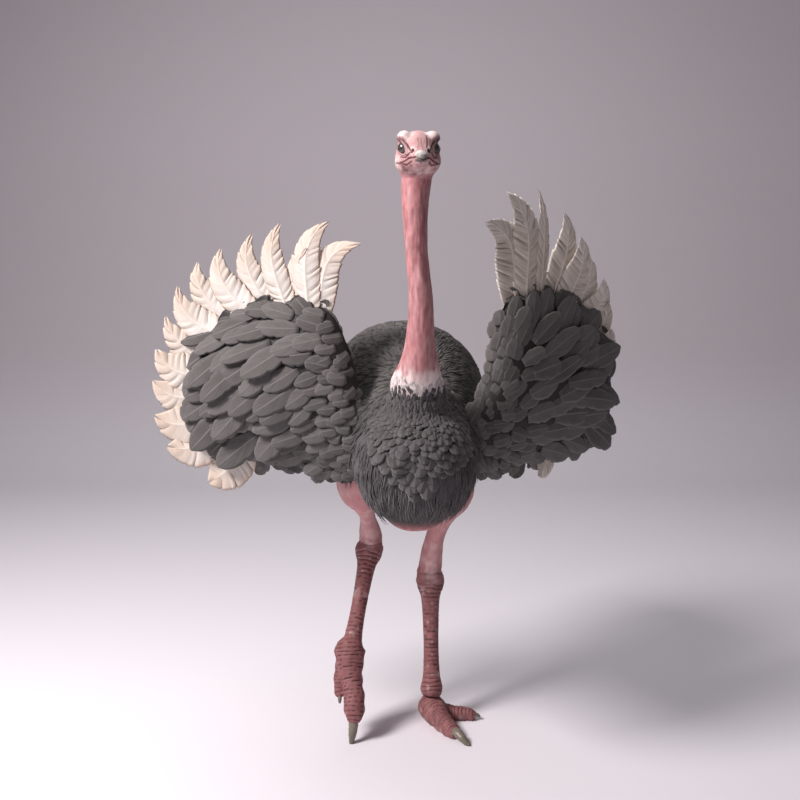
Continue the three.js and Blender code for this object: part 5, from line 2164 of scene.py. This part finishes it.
@dataclass
class Studio:
    """A pale sweep of floor and wall, a soft key light from the upper left, and a camera a little above the back."""

    camera_at: Point = (-0.068, -4.45, 1.88)
    pitch: float = math.radians(6.85)
    lens_mm: float = 50.0
    wall_y: float = 8.2
    sweep_radius: float = 3.2
    finish: StudioFloor = StudioFloor()

    def build(self) -> None:
        """Builds floor, lights and camera."""
        self.sweep()
        self.light("key", (-3.3, -2.2, 4.4), (0.0, -0.2, 1.1), (1.5, 1.5), 350, "#fffafa")
        self.light("fill", (-1.6, -6.0, 2.0), (0.0, 0.0, 1.2), (3.0, 3.0), 26, "#f6f3ff")
        self.light("top", (0.2, 1.0, 5.4), (0.0, 0.4, 0.0), (4.0, 4.0), 84, "#ffffff")
        self.light("wall", (0.0, 4.4, 5.0), (0.0, 8.0, 0.6), (5.0, 2.0), 28, "#ffffff")
        self.world()
        self.camera()
        bpy.context.scene.view_settings.view_transform = "Standard"

    def sweep(self) -> None:
        """Floor and wall in one piece, with a wide curve between them."""
        turn = np.linspace(0, math.pi / 2, 24)
        radius = self.sweep_radius
        line = [(-9.0, 0.0)]
        line += [(self.wall_y - radius + radius * math.sin(a), radius - radius * math.cos(a)) for a in turn]
        line += [(self.wall_y, 9.0)]
        points = [(x, y, z) for x in (-12.0, 12.0) for y, z in line]
        n = len(line)
        faces = [(i, n + i, n + i + 1, i + 1) for i in range(n - 1)]
        mesh = bpy.data.meshes.new("studio_sweep")
        mesh.from_pydata(points, [], faces)
        mesh.update()
        shade_smooth(mesh)
        mesh.materials.append(self.finish.material())
        add_object("studio_sweep", mesh)

    def light(self, name: str, at: Point, to: Point, size: tuple[float, float], power: float, colour: str) -> None:
        """One soft light.

        Args:
            name: Its name.
            at: Where it stands, in metres.
            to: What it shines on.
            size: The width and height of its panel.
            power: In watts.
            colour: As #rrggbb.
        """
        data = bpy.data.lights.new(name, "AREA")
        data.shape = "RECTANGLE"
        data.size, data.size_y = size
        data.energy = power
        data.color = linear(colour)[:3]
        lamp = bpy.data.objects.new(name, data)
        lamp.location = at
        lamp.rotation_euler = (Vector(to) - Vector(at)).to_track_quat("-Z", "Y").to_euler()
        bpy.context.scene.collection.objects.link(lamp)

    def world(self) -> None:
        """A dim, even surround."""
        world = bpy.data.worlds.new("studio_air")
        world.use_nodes = True
        world.node_tree.nodes["Background"].inputs[0].default_value = linear("#bbb2ba")
        world.node_tree.nodes["Background"].inputs[1].default_value = 0.19
        bpy.context.scene.world = world

    def camera(self) -> None:
        """The camera, level from side to side and tipped a little down."""
        data = bpy.data.cameras.new("camera")
        data.sensor_width = 36.0
        data.lens = self.lens_mm
        thing = bpy.data.objects.new("camera", data)
        thing.location = Vector(self.camera_at) + Vector(SHIFT)
        thing.rotation_euler = (math.pi / 2 - self.pitch, 0.0, 0.0)
        bpy.context.scene.collection.objects.link(thing)
        bpy.context.scene.camera = thing


def main() -> None:
    """Builds the bird and its studio, and reports each piece."""
    logging.basicConfig(level=logging.INFO, format="%(name)s: %(message)s")
    skin = Skin().build()
    made = [skin, *Bill().build(), *Eyes().build(), *Claws().build()]
    made += BodyCoat().build(skin)
    for seed, (name, face) in enumerate(WING_CELLS, start=420):
        made.append(Coverts(name, face, seed).build())
    for seed, name in enumerate(WING_GROWTH, start=500):
        # The left wing's plumes take a finish with painted light, painted highlight and painted shade for where they
        # face.
        finish = WHITE_PLUME if name == "right" else LEFT_PLUME_PAINTED_LIGHT
        made.append(PlumeFan(f"wing_{name}_plumes", seed, finish).build(wing_plumes(name)))
    tail = [plume for tier in TAIL_TIERS for plume in tier.plumes()]
    made.append(PlumeFan("tail_plumes", 510, WHITE_PLUME).build(tail))
    for thing in made:
        triangles = sum(len(face.vertices) - 2 for face in thing.data.polygons)
        LOG.info("%s: %d triangles", thing.name, triangles)
    Studio().build()


if __name__ == "__main__":
    main()
